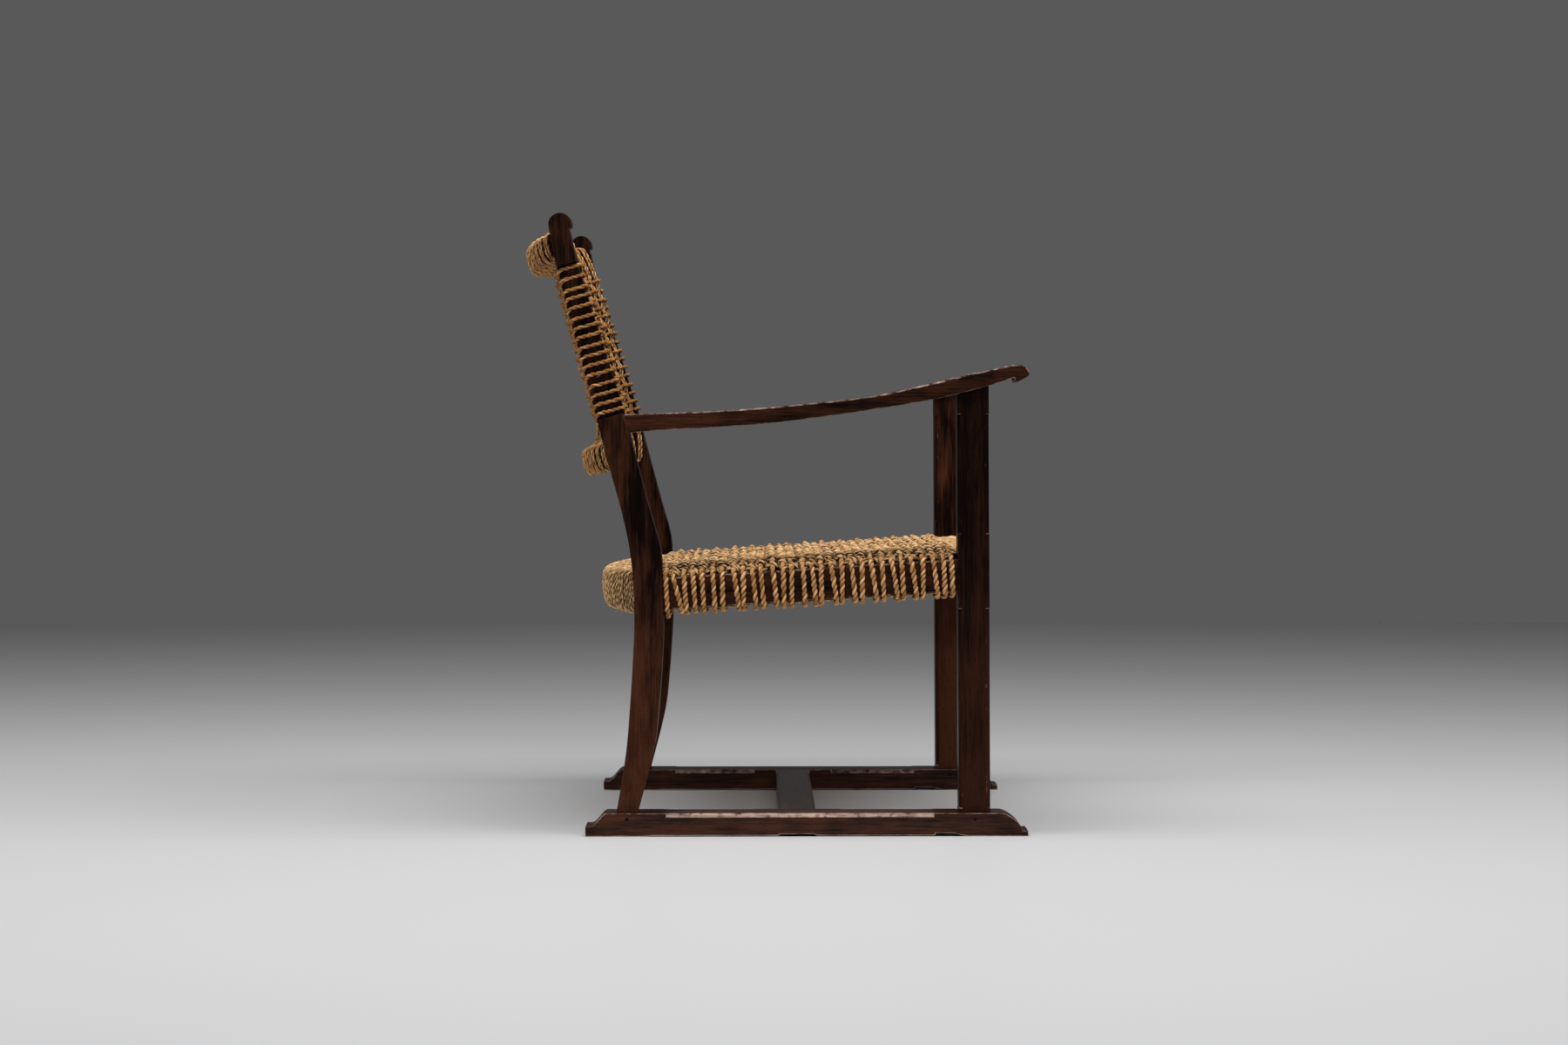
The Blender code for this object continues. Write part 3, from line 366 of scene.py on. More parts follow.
def wood_finish(name, grain, lift=1.0, rub=0.0, gloss=0.04, scuff=0.0):
    """Dark stained wood, lighter by lift and more worn by rub, with scuffs up to a height above the floor,
    and on uprights painted light, paler below and darker above.
    """
    colours = bpy.context.scene.chair_colours
    wood = Finish(bpy.data.materials.new(name))
    place = wood.place()
    height = wood.node("ShaderNodeSeparateXYZ", None, {0: place}, "Z")
    along, broad = (
        wood.scaled(place, [share if axis == GRAIN_AXES[grain] else 1.0 for axis in range(3)])
        for share in (GRAIN_SCALE, FIGURE_SCALE)
    )
    streaks, figure = wood.noise(along, *STREAKS), wood.noise(broad, *FIGURE)
    pores = wood.spread(wood.noise(along, *PORES), *PORE_RANGE)
    figured = wood.noise(along, *BANDS) * 0.3 + streaks * 0.4 + figure * 0.5
    # Painted light on uprights: paler towards the floor, as lit by it, and darker above, as in the arms'
    # shade
    if grain == "upright":
        figured = figured + wood.spread(height, *FLOOR_LIGHT_RANGE) * PAINTED_FLOOR_LIGHT - PAINTED_SHADE_ABOVE
    tone = wood.spread(figured, *STAIN_RANGE)
    stain = wood.mix(tone, shade(colours.wood_dark), shade(colours.wood_light, lift))
    stain = wood.mix(pores * PORE_SHARE, stain, shade(colours.wood_dark, PORE_SHADE))
    wear = wood.attribute("wear")
    if scuff:
        wear = wear + wood.spread(height, scuff, 0.0) * SCUFF_SHARE
    rubbed = wood.spread(wear * (wood.noise(place, *PATCHES) + rub), *RUB_RANGE)
    mottled = wood.spread(tone * 0.5 + wood.noise(broad, *MOTTLE) * 0.8, *WORN_RANGE)
    worn = wood.mix(mottled, *[shade(colours.wood_worn, share) for share in WORN_SHADES])
    return wood.surface({
        "Base Color": wood.mix(rubbed * WORN_SHARE, stain, worn),
        "Roughness": 0.20 + streaks * 0.22 + rubbed * 0.25,
        "Normal": wood.bump(streaks * 0.5 - pores + figure * 0.3, *WOOD_RELIEF),
        "Specular IOR Level": gloss,
    })


def straw_finish(name, pale, browning, dirt_and_shade, hollow):
    """Two-ply straw rope, made browner by a browning share, with grime and painted shade in the groove of the
    plies and in the weave's hollows.
    """
    colours = bpy.context.scene.chair_colours
    soil_and_shade = shade(colours.straw_dirt_and_shade)
    straw = Finish(bpy.data.materials.new(name))
    strand = straw.attribute("strand", "Vector")
    ply = straw.node("ShaderNodeSeparateXYZ", None, {0: strand})
    # Groove between the plies, where grime and painted shade go
    groove = straw.spread(abs(ply.output("Y")), 1 - GROOVE_WIDTH * dirt_and_shade, 1.0)
    fibres = straw.noise(straw.scaled(strand, FIBRE_SCALE), *FIBRES)
    lengths = straw.noise(straw.scaled(strand, LENGTH_SCALE), *LENGTHS)
    patches = straw.noise(straw.place(), *SOILING)
    tone = fibres * 0.45 + lengths + patches * 0.35 + straw.spread(ply, *PLY_RANGE) * 0.16
    tone = straw.spread(tone, *[limit + browning for limit in STRAW_RANGE])
    colour = straw.mix(tone, shade(colours.straw_brown), shade(pale))
    # Grime and painted shade on the sides of a rope that face into the weave, and deeper in the weave's
    # hollows
    colour = straw.mix(straw.spread(straw.attribute("outside"), *hollow), soil_and_shade, colour)
    return straw.surface({
        "Base Color": straw.mix(groove * dirt_and_shade, colour, soil_and_shade),
        "Roughness": 0.46 + fibres * 0.24,
        "Normal": straw.bump(fibres, *STRAW_RELIEF),
        "Specular IOR Level": 0.12,
    })


def loose_straw_finish():
    """Single straws, brown to pale."""
    colours = bpy.context.scene.chair_colours
    straw = Finish(bpy.data.materials.new("loose_straw"))
    tone = straw.spread(straw.noise(straw.place(), *LOOSE_TONE), *LOOSE_RANGE)
    colour = straw.mix(tone, shade(colours.straw_brown), shade(colours.straw_pale))
    return straw.surface({"Base Color": colour, "Roughness": 0.75})


# Side outlines


def spot(x, forward, height):
    """Point of the chair."""
    return Vector((x, REAR_Y - forward, height))


def evenly(start, stop, steps):
    """Evenly spaced values, both ends included."""
    return [start + (stop - start) * i / steps for i in range(steps + 1)]


def eased(t):
    """Smooth way from 0 to 1."""
    return t * t * (3 - 2 * t)


def smooth_way(t, first, second, leaving, arriving):
    """Place at a share t of the smooth way between two places, given its slopes there."""
    ends = (1 + 2 * t) * (1 - t) ** 2 * first + eased(t) * second
    return ends + t * (1 - t) ** 2 * leaving + t * t * (t - 1) * arriving


def value_on(stations, position):
    """Value at a position on the smooth curve through (position, value) stations."""
    last = len(stations) - 1

    def slope(index):
        before, after = stations[max(index - 1, 0)], stations[min(index + 1, last)]
        return (after[1] - before[1]) / (after[0] - before[0])

    for end in (0, last):
        if (position - stations[end][0]) * (1 if end else -1) >= 0:
            return stations[end][1] + slope(end) * (position - stations[end][0])
    index = max(i for i in range(last) if stations[i][0] <= position)
    (start, first), (stop, second) = stations[index], stations[index + 1]
    step = stop - start
    return smooth_way((position - start) / step, first, second, step * slope(index), step * slope(index + 1))


def arc(centre, radius, start, stop, steps=ARC_STEPS):
    """Points on an arc, with its angles in degrees."""
    turns = [math.radians(angle) for angle in evenly(start, stop, steps)]
    return [(centre[0] + radius * math.cos(a), centre[1] + radius * math.sin(a)) for a in turns]


def post_rear(height):
    """Forward place of the rear edge of the rear posts."""
    return value_on(POST_REAR_EDGE, height)


def post_front(height):
    """Forward place of the front edge of the rear posts."""
    return value_on(POST_FRONT_EDGE, height)


def post_middle(height):
    """Forward place of the middle of the rear posts."""
    return (post_rear(height) + post_front(height)) / 2


def leg_rear(height):
    """Forward place of the rear face of the front legs, which rake back a little."""
    return LEG_FORWARD - math.tan(LEG_RAKE) * (height - RUNNER_HEIGHT)


def unit(ways):
    """Directions of length one."""
    return ways / np.maximum(np.linalg.norm(ways, axis=-1, keepdims=True), TINY)


class Slope:
    """Frame that leans with the seat or the back: out is its forward way, and up is its upward way."""

    def __init__(self, forward, height, lean):
        self.forward, self.height = forward, height
        self.cos, self.sin = math.cos(lean), math.sin(lean)

    def at(self, x, out, up):
        """Points of the chair, from numbers or arrays."""
        forward = self.forward + out * self.cos - up * self.sin
        height = self.height + out * self.sin + up * self.cos
        return np.column_stack(np.broadcast_arrays(x, REAR_Y - forward, height)).astype(float)

    def local(self, points):
        """Distances across, out and up of points of the chair."""
        forward, height = REAR_Y - points[:, 1] - self.forward, points[:, 2] - self.height
        return points[:, 0], forward * self.cos + height * self.sin, height * self.cos - forward * self.sin

    def heading(self, x, out, up):
        """Unit directions in the chair, from distances across, out and up."""
        backward, upward = up * self.sin - out * self.cos, out * self.sin + up * self.cos
        return unit(np.column_stack(np.broadcast_arrays(x, backward, upward)))

    def reach(self, edge, up):
        """Distance out to a side edge, at one distance up."""
        out = 0.0
        for _ in range(FIT_ROUNDS):
            height = self.height + out * self.sin + up * self.cos
            out += edge(height) - (self.forward + out * self.cos - up * self.sin)
        return out


SEAT_RUN, SEAT_RISE = SEAT_FRONT[0] - SEAT_REAR[0], SEAT_FRONT[1] - SEAT_REAR[1]
SEAT_SPAN = math.hypot(SEAT_RUN, SEAT_RISE)
SEAT = Slope(*SEAT_REAR, math.atan2(SEAT_RISE, SEAT_RUN))
BACK_FOOT_FORWARD, BACK_HEAD_FORWARD = post_middle(BACK_LOWER_HEIGHT), post_middle(BACK_TOP_HEIGHT)
BACK_RISE = BACK_TOP_HEIGHT - BACK_LOWER_HEIGHT
BACK_SPAN = math.hypot(BACK_FOOT_FORWARD - BACK_HEAD_FORWARD, BACK_RISE)
BACK_LEAN = math.atan2(BACK_FOOT_FORWARD - BACK_HEAD_FORWARD, BACK_RISE)
BACK = Slope(BACK_FOOT_FORWARD, BACK_LOWER_HEIGHT, BACK_LEAN)
RECESS_FOOT = (POST_RECESS_FOOT - BACK_LOWER_HEIGHT) / math.cos(BACK_LEAN)
RECESS_HEAD = (POST_RECESS_HEAD - BACK_LOWER_HEIGHT) / math.cos(BACK_LEAN)


def bow_share(x):
    """Share of a rail's full bow at a distance from the middle."""
    return 1 - (x / POST_INNER) ** 2


def back_panel(x):
    """Place of the woven back, out from the middle of the posts."""
    return BACK_PANEL_FORWARD - BACK_PANEL_BOW * bow_share(x)


# Timber


def blank():
    """Empty bmesh that keeps how much its faces and points are worn."""
    bm = bmesh.new()
    bm.faces.layers.float.new("rub")
    bm.verts.layers.float.new("wear")
    return bm


def draw_out(bm, face, distance):
    """Draw a face out sideways into a block."""
    grown = bmesh.ops.extrude_face_region(bm, geom=[face])["geom"]
    fresh = [item for item in grown if isinstance(item, bmesh.types.BMVert)]
    bmesh.ops.translate(bm, vec=(distance, 0, 0), verts=fresh)


def sawn_board(outline, middle, thickness):
    """Board sawn to a side outline, with half of its thickness on each side of a middle."""
    bm = blank()
    face = bm.faces.new([bm.verts.new(spot(middle - thickness / 2, *point)) for point in outline])
    draw_out(bm, face, thickness)
    bmesh.ops.recalc_face_normals(bm, faces=bm.faces)
    return bm


def cut_across(bm, place, normal):
    """Cut the faces along a plane without parting them."""
    geometry = bm.verts[:] + bm.edges[:] + bm.faces[:]
    bmesh.ops.bisect_plane(bm, geom=geometry, plane_co=place, plane_no=normal, dist=ON_PLANE)


def bevel(bm, edges, size, segments, worn=0.0):
    """Bevel edges, and say how far the new faces are worn."""
    fresh = bmesh.ops.bevel(bm, geom=edges, offset=size, offset_type="OFFSET", segments=segments, profile=0.5,
                            affect="EDGES", material=-1, clamp_overlap=False)["faces"]
    rub = bm.faces.layers.float["rub"]
    for face in fresh:
        face[rub] = max(face[rub], worn)


def once(items):
    """Items in their order, each of them once."""
    return list(dict.fromkeys(items))


def stopped_chamfer(bm, start, stop, size, worn):
    """Cut the edge between two points of it down to a flat, with a square stop at each end."""
    along = (stop - start).normalized()
    for place in (start, stop):
        cut_across(bm, place, along)
    length = (stop - start).length

    def on_edge(vert):
        offset = vert.co - start
        reach = offset.dot(along)
        beside = (offset - along * reach).length
        return -SAME_PLACE < reach < length + SAME_PLACE and beside < ON_EDGE

    def between():
        return [edge for edge in bm.edges if all(on_edge(vert) for vert in edge.verts)]

    chain = between()
    if not chain:
        raise RuntimeError("No edge of the timber lies between the ends of the chamfer")
    faces = once(face for edge in chain for face in edge.link_faces)
    inward = [face.normal * -1 for face in chain[0].link_faces]
    corner = (inward[0] + inward[1]).normalized()
    geometry = faces + once(edge for face in faces for edge in face.edges)
    geometry += once(vert for face in faces for vert in face.verts)
    bmesh.ops.bisect_plane(
        bm, geom=geometry, plane_co=start + inward[0] * size, plane_no=corner, dist=ON_PLANE)
    strips = once(face for edge in between() for face in edge.link_faces)
    bmesh.ops.delete(bm, geom=strips, context="FACES")
    rub = bm.faces.layers.float["rub"]
    for place in (start, stop):
        tip = min(bm.verts, key=lambda vert: (vert.co - place).length)
        rim = [edge.other_vert(tip) for edge in tip.link_edges if edge.is_boundary]
        # Stop faces painted pale: wear and painted highlight
        bm.faces.new([tip, *rim])[rub] = STOP_WEAR_AND_HIGHLIGHT
    flat = bmesh.ops.holes_fill(bm, edges=[edge for edge in bm.edges if edge.is_boundary], sides=0)["faces"]
    for face in flat:
        face[rub] = worn
    bmesh.ops.recalc_face_normals(bm, faces=bm.faces)


def regions(faces):
    """Groups of faces that share edges."""
    left = dict.fromkeys(faces)
    while left:
        group, border = [], [left.popitem()[0]]
        while border:
            face = border.pop()
            group.append(face)
            for other in [near for edge in face.edges for near in edge.link_faces]:
                if other in left:
                    del left[other]
                    border.append(other)
        yield group


def wear_edges(bm, crisp=None):
    """Round every sharp edge but the crisp ones, and mark the wear that fades from it."""
    sizes = bpy.context.scene.chair_timber
    wear, rub = bm.verts.layers.float["wear"], bm.faces.layers.float["rub"]
    sharp = [edge for edge in bm.edges if edge.is_manifold and edge.calc_face_angle() > SHARP_CORNER]
    bevel(bm, [edge for edge in sharp if crisp is None or not crisp(edge)], sizes.edge_round,
          EDGE_SEGMENTS, EDGE_WEAR)
    for face in bm.faces:
        for vert in face.verts:
            vert[wear] = max(vert[wear], face[rub])
    for group in list(regions([face for face in bm.faces if face[rub] < EDGE_WEAR])):
        kept = max(face[rub] for face in group)
        bmesh.ops.inset_region(bm, faces=group, thickness=sizes.wear_band, use_boundary=True,
                               use_even_offset=True)
        for face in group:
            for vert in face.verts:
                vert[wear] = kept


def crosswise(edge):
    """Whether an edge runs straight across the chair."""
    along = edge.verts[1].co - edge.verts[0].co
    return abs(along.x) > STRAIGHT * along.length


def place_object(name, data):
    """Put a mesh, curve, light or camera in the scene."""
    fresh = bpy.data.objects.new(name, data)
    bpy.context.scene.collection.objects.link(fresh)
    return fresh


def add_piece(name, mesh, material, node):
    """Put a finished mesh in the scene in place of a solid."""
    mesh.materials.append(material)
    mesh.shade_smooth()
    piece = place_object(name, mesh)
    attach(piece, "root")
    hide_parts(node)


def add_timber(bm, node, material):
    """Close a timber's bmesh into a piece."""
    bmesh.ops.recalc_face_normals(bm, faces=bm.faces)
    bm.faces.layers.float.remove(bm.faces.layers.float["rub"])
    name = f"{node}_timber"
    mesh = bpy.data.meshes.new(name)
    bm.to_mesh(mesh)
    bm.free()
    add_piece(name, mesh, material, node)
    mesh.set_sharp_from_angle(angle=FOLD)


def add_pair(kind, make, material):
    """Put the right and left timber of a kind in the scene."""
    for word, side in SIDES:
        add_timber(make(side), f"{kind}_{word}", material)


def runner_outline():
    """Sled runner with feet and hollows underneath, a stepped heel and a rounded nose."""
    outline = [(0, 0), (REAR_FOOT, 0), *RUNNER_SOLE, (RUNNER_LENGTH, 0), (RUNNER_LENGTH, TOE_HEIGHT)]
    nose_start = RUNNER_LENGTH - TOE_STEP - NOSE_LENGTH
    for t in evenly(1, 0, ARC_STEPS):
        rise = (1 - t ** NOSE_FULLNESS) ** (1 / NOSE_FULLNESS)
        outline.append((nose_start + NOSE_LENGTH * t, TOE_HEIGHT + (RUNNER_HEIGHT - TOE_HEIGHT) * rise))
    for t in evenly(1, 0, ARC_STEPS):
        rise = eased(t) * (RUNNER_HEIGHT - HEEL_HEIGHT)
        outline.append((HEEL_STEP + HEEL_SWEEP * t, HEEL_HEIGHT + rise))
    outline.append((0, HEEL_HEIGHT))
    return outline


def make_runner(side):
    """Runner with stopped chamfers on its top edges, broken on the inside at the stretcher."""
    size = bpy.context.scene.chair_timber.runner_chamfer
    bm = sawn_board(runner_outline(), side * POST_X, RUNNER_WIDTH)
    outer, inner = (side * (POST_X + edge * RUNNER_WIDTH / 2) for edge in (1, -1))
    front = RUNNER_LENGTH - RUNNER_CHAMFER_FRONT
    # Runner chamfers painted worn: wear and painted highlight
    for x, start, stop, worn in (
        (outer, RUNNER_CHAMFER_REAR, front, RUNNER_OUTER_WEAR_AND_HIGHLIGHT),
        (inner, RUNNER_CHAMFER_REAR, STRETCHER_FORWARD - STRETCHER_BREAK, RUNNER_INNER_WEAR_AND_HIGHLIGHT),
        (inner, STRETCHER_FORWARD + STRETCHER_BREAK, front, RUNNER_INNER_WEAR_AND_HIGHLIGHT),
    ):
        stopped_chamfer(bm, spot(x, start, RUNNER_HEIGHT), spot(x, stop, RUNNER_HEIGHT), size, worn)
    wear_edges(bm)
    return bm


def make_stretcher():
    """Flat bar between the runners, with stopped chamfers on its top edges."""
    size = bpy.context.scene.chair_timber.stretcher_chamfer
    inner = POST_X - RUNNER_WIDTH / 2
    top = RUNNER_HEIGHT - STRETCHER_SET_DOWN
    rear, front = (STRETCHER_FORWARD + edge * STRETCHER_WIDTH / 2 for edge in (-1, 1))
    foot = top - STRETCHER_THICKNESS
    outline = [(rear, foot), (front, foot), (front, top), (rear, top)]
    bm = sawn_board(outline, 0, 2 * (inner + HOUSED))
    stop = inner - STRETCHER_CHAMFER_STOP
    for forward in (rear, front):
        stopped_chamfer(bm, spot(-stop, forward, top), spot(stop, forward, top), size, 0.0)
    wear_edges(bm)
    return bm


def make_front_leg(side):
    """Raked front leg with chamfers that stop at the seat."""
    size = bpy.context.scene.chair_timber.leg_chamfer
    foot = RUNNER_HEIGHT - HOUSED
    outline = [(leg_rear(foot), foot), (leg_rear(foot) + LEG_DEPTH, foot)]
    for depth in evenly(LEG_DEPTH, 0, LEG_HEAD_STEPS):
        height = ARM_UNDERSIDE[-2][1]
        for _ in range(FIT_ROUNDS):
            height = value_on(ARM_UNDERSIDE, leg_rear(height) + depth) + HOUSED
        outline.append((leg_rear(height) + depth, height))
    bm = sawn_board(outline, side * POST_X, POST_THICKNESS)
    rail_top, rail_foot = (SEAT.at(0, SEAT_SPAN, up)[0][2] for up in (SIDE_RAIL_TOP, SIDE_RAIL_FOOT))
    zones = [
        (RUNNER_HEIGHT + LEG_CHAMFER_FOOT, rail_foot - LEG_SQUARE_BELOW_RAIL),
        (rail_top + LEG_SQUARE_ABOVE_RAIL, value_on(ARM_UNDERSIDE, LEG_FORWARD) - LEG_CHAMFER_HEAD),
    ]
    for zone in zones:
        for depth in (0, LEG_DEPTH):
            for edge in (-1, 1):
                x = side * POST_X + edge * POST_THICKNESS / 2
                level = [height + depth * math.sin(LEG_RAKE) * math.cos(LEG_RAKE) for height in zone]
                ends = [spot(x, leg_rear(height) + depth, height) for height in level]
                stopped_chamfer(bm, *ends, size, 0.0)
    wear_edges(bm)
    return bm


def make_rear_post(side):
    """Curved rear post with a rounded head, and an outer recess that the back rope lies in."""
    heights = evenly(RUNNER_HEIGHT - HOUSED, POST_NECK, EDGE_STEPS)
    outline = [(post_front(height), height) for height in heights]
    outline += POST_BITE + arc(POST_HEAD, POST_HEAD_RADIUS, *POST_HEAD_ARC)
    outline += [(post_rear(height), height) for height in heights[::-1]]
    inner_share = POST_THICKNESS - POST_RECESS_DEPTH
    bm = sawn_board(outline, side * (POST_INNER + inner_share / 2), inner_share)
    lean = Vector((0, BACK.sin, BACK.cos))
    ends = [Vector(BACK.at(0, 0, up)[0]) for up in (RECESS_FOOT, RECESS_HEAD)]
    for place in ends:
        cut_across(bm, place, lean)
    for face in [face for face in bm.faces if face.normal.x * side > SIDEWAYS]:
        up = [(face.calc_center_median() - place).dot(lean) for place in ends]
        if up[0] < 0 or up[1] > 0:
            draw_out(bm, face, side * POST_RECESS_DEPTH)
            bm.faces.remove(face)
    bmesh.ops.recalc_face_normals(bm, faces=bm.faces)
    wear_edges(bm, lambda edge: crosswise(edge) and edge.verts[0].co.z > POST_NECK)
    return bm


def make_arm(side):
    """Arm that rises to a small scroll in front and narrows in plan towards the post."""
    starts = [post_front(edge[0][1]) - HOUSED for edge in (ARM_TOP, ARM_UNDERSIDE)]
    neck = ARM_SCROLL[0] - ARM_SCROLL_RADIUS
    outline = [(forward, value_on(ARM_TOP, forward)) for forward in evenly(starts[0], neck, EDGE_STEPS)]
    outline += arc(ARM_SCROLL, ARM_SCROLL_RADIUS, *ARM_SCROLL_ARC) + ARM_HOOK
    under = evenly(ARM_HOOK[-1][0] - ARM_HOOK_GAP, starts[1], EDGE_STEPS)
    outline += [(forward, value_on(ARM_UNDERSIDE, forward)) for forward in under]
    bm = sawn_board(outline, side * POST_X, ARM_FRONT_WIDTH)
    tip = ARM_SCROLL[0] + ARM_SCROLL_RADIUS
    for vert in bm.verts:
        share = (REAR_Y - vert.co.y - starts[0]) / (tip - starts[0])
        width = POST_THICKNESS + (ARM_FRONT_WIDTH - POST_THICKNESS) * share
        vert.co.x = side * POST_X + (vert.co.x - side * POST_X) * width / ARM_FRONT_WIDTH
    bm.normal_update()
    long_edges = [edge for edge in bm.edges if not crosswise(edge)]
    top = [edge for edge in long_edges if max(face.normal.z for face in edge.link_faces) > RISING]
    bevel(bm, top, bpy.context.scene.chair_timber.arm_round, ROUND_SEGMENTS, EDGE_WEAR)
    bm.normal_update()
    wear_edges(bm, lambda edge: crosswise(edge) and REAR_Y - edge.verts[0].co.y > neck)
    return bm


def make_side_rail(side):
    """Side rail of the seat, sloping up from the post to the front leg."""
    outline = []
    for edge, run, start, stop in (
        (post_front, -HOUSED, SIDE_RAIL_TOP, SIDE_RAIL_FOOT),
        (leg_rear, HOUSED, SIDE_RAIL_FOOT, SIDE_RAIL_TOP),
    ):
        for up in (start, stop):
            place = SEAT.at(0, SEAT.reach(edge, up) + run, up)[0]
            outline.append((REAR_Y - place[1], place[2]))
    bm = sawn_board(outline, side * POST_X, SIDE_RAIL_THICKNESS)
    long_edges = [edge for edge in bm.edges if edge.calc_length() > SEAT_SPAN / 2]
    bevel(bm, long_edges, SIDE_RAIL_ROUND, ROUND_SEGMENTS, EDGE_WEAR)
    wear_edges(bm)
    return bm


def make_cross_rail(plane, out, up, thickness, depth, bow):
    """Rail between the posts or legs, with rounded edges, bowed backwards in its plane."""
    length = 2 * (POST_INNER + HOUSED)
    bm = blank()
    bmesh.ops.create_cube(bm, size=1, matrix=Matrix.Diagonal((length, thickness, depth, 1)))
    long_edges = [edge for edge in bm.edges if edge.calc_length() > length / 2]
    bevel(bm, long_edges, RAIL_ROUND, ROUND_SEGMENTS)
    for x in evenly(-POST_INNER, POST_INNER, BOW_STEPS):
        cut_across(bm, (x, 0, 0), (1, 0, 0))
    for vert in bm.verts:
        x, along, above = vert.co
        vert.co = plane.at(x, out - along - bow * bow_share(x), up + above)[0]
    bmesh.ops.recalc_face_normals(bm, faces=bm.faces)
    wear_edges(bm)
    return bm


def make_peg(side, forward):
    """Round peg across a runner, with domed heads that stand a little proud."""
    sizes = bpy.context.scene.chair_timber
    radius = sizes.peg_diameter / 2
    bm = blank()
    place = Matrix.Translation(spot(side * POST_X, forward, RUNNER_HEIGHT - PEG_BELOW_TOP))
    bmesh.ops.create_cone(bm, cap_ends=True, segments=PEG_SIDES, radius1=radius, radius2=radius,
                          depth=RUNNER_WIDTH + 2 * sizes.peg_proud,
                          matrix=place @ Matrix.Rotation(math.pi / 2, 4, "Y"))
    rims = [edge for edge in bm.edges if abs(edge.verts[0].co.x - edge.verts[1].co.x) < ON_PLANE]
    bevel(bm, rims, sizes.peg_proud * PEG_DOME, DOME_SEGMENTS)
    return bm


# Rope

# Section of a rope as shares of its width, and how far a tight rope's middle is from what it is wound on
PLY_SHARE, NECK_SHARE, SHOULDER = 0.35, 0.58, math.radians(65)
TIGHT_SHARE, ROPE_CLEARANCE = 0.45, 0.0002
SECTION_POINTS, STEPS_PER_LAY, CURVE_PIECES = 8, 8, 8
STEPS_PER_WEFT, STEPS_PER_PAIR = 4, 6

# Chance waves along a rope: of its lay, as (radians, lays), of its thickness, as (share, metres); and starts
LAY_WAVES, THICKNESS_WAVES = ((0.8, 7.3), (0.5, 2.9)), ((0.06, 0.093), (0.05, 0.031))
WAVE_STARTS = 6

# Chance in how a winding lies on its rails, squareness of a weave's waves, and depth of its hollows, which
# darkens the straw there with grime and painted shade
UNEVEN_STEP, UNEVEN_TURN = 0.012, 0.6
FLAT_CREST, WEAVE_DEPTH = 2.2, 1.7

# Flat map of a rope: rings in a row for each of its rows, and the margins of a row
UNROLLED_SHAPE, UNROLLED_MARGIN = 9.5, 0.04

# Seeds of chance: for the places of the ropes, and for their twist
PLACE_SEEDS = {"seat_warp": 11, "seat_weft": 23, "back_warp": 37, "back_weft": 41, "loose_fibres": 59}
TWIST_SEEDS = {"seat_warp": 101, "seat_weft": 201, "back_warp": 301, "back_weft": 400}

# Middles of the ropes that are made, which loose fibres start from
ROPE_CENTRES = []


def gaps_between(points):
    """Distance from each point to the next."""
    return np.linalg.norm(np.diff(points, axis=0), axis=1)


def run_along(points):
    """Distance of each point along the line through them."""
    return np.concatenate(([0], np.cumsum(gaps_between(points))))


def flowing(points, step):
    """Points at even steps along the smooth line through the given points, and their distance along it."""
    points = points[np.concatenate(([True], gaps_between(points) > SAME_PLACE))]
    gaps = gaps_between(points)[:, None]
    slopes = np.diff(points, axis=0) / gaps
    heading = np.empty_like(points)
    heading[1:-1] = (slopes[:-1] * gaps[1:] + slopes[1:] * gaps[:-1]) / (gaps[:-1] + gaps[1:])
    heading[0], heading[-1] = slopes[0], slopes[-1]
    t = (np.arange(CURVE_PIECES) / CURVE_PIECES)[None, :, None]
    leaving, arriving = (gaps * ways for ways in (heading[:-1], heading[1:]))
    dense = smooth_way(t, *[rows[:, None] for rows in (points[:-1], points[1:], leaving, arriving)])
    dense = np.vstack((dense.reshape(-1, 3), points[-1]))
    run = run_along(dense)
    even = np.linspace(0, run[-1], max(3, round(run[-1] / step)) + 1)
    return np.column_stack([np.interp(even, run, dense[:, axis]) for axis in range(3)]), even


def add_line(curve, places):
    """Add a line through places to a curve."""
    line = curve.splines.new("POLY")
    line.points.add(len(places) - 1)
    line.points.foreach_set("co", np.column_stack((places, np.ones(len(places)))).ravel())
    return line


def two_ply_section(width):
    """Cross section of a rope of two plies, as a flat closed curve."""
    ply = PLY_SHARE * width
    shoulder = (width / 2 - ply + ply * math.cos(SHOULDER), ply * math.sin(SHOULDER))
    half = [(0, NECK_SHARE * ply), shoulder, (width / 2, 0), (shoulder[0], -shoulder[1])]
    curve = bpy.data.curves.new("rope_section", "CURVE")
    curve.dimensions = "2D"
    outline = add_line(curve, [(turn * x, turn * y, 0) for turn in (1, -1) for x, y in half])
    outline.use_cyclic_u = True
    return place_object("rope_section", curve)


def swept_mesh(name, curve):
    """Mesh of a curve with its bevel."""
    sweep = place_object(name, curve)
    bpy.context.view_layer.update()
    graph = bpy.context.evaluated_depsgraph_get()
    mesh = bpy.data.meshes.new_from_object(sweep.evaluated_get(graph))
    bpy.data.objects.remove(sweep, do_unlink=True)
    bpy.data.curves.remove(curve)
    mesh.name = name
    return mesh


def mark_strands(mesh, along, centres, outward, width):
    """Mark the points of a rope with their place on the strand and how far out of the weave they lie, which
    sets where grime and painted shade go.
    """
    places = np.empty(len(mesh.vertices) * 3, np.float32)
    mesh.vertices.foreach_get("co", places)
    arms = places.reshape(-1, SECTION_POINTS, 3) - centres[:, None]
    ways, rise = outward(centres)
    reach = (arms * ways[:, None]).sum(axis=2) * 2 / width + WEAVE_DEPTH * rise[:, None]
    outside = mesh.attributes.new("outside", "FLOAT", "POINT")
    outside.data.foreach_set("value", reach.astype(np.float32).ravel())
    turn = 2 * np.pi * np.arange(SECTION_POINTS) / SECTION_POINTS - np.pi / 2
    marks = np.stack(np.broadcast_arrays(np.cos(turn), np.sin(turn), along[:, None]), axis=-1)
    strand = mesh.attributes.new("strand", "FLOAT_VECTOR", "POINT")
    strand.data.foreach_set("vector", marks.astype(np.float32).ravel())


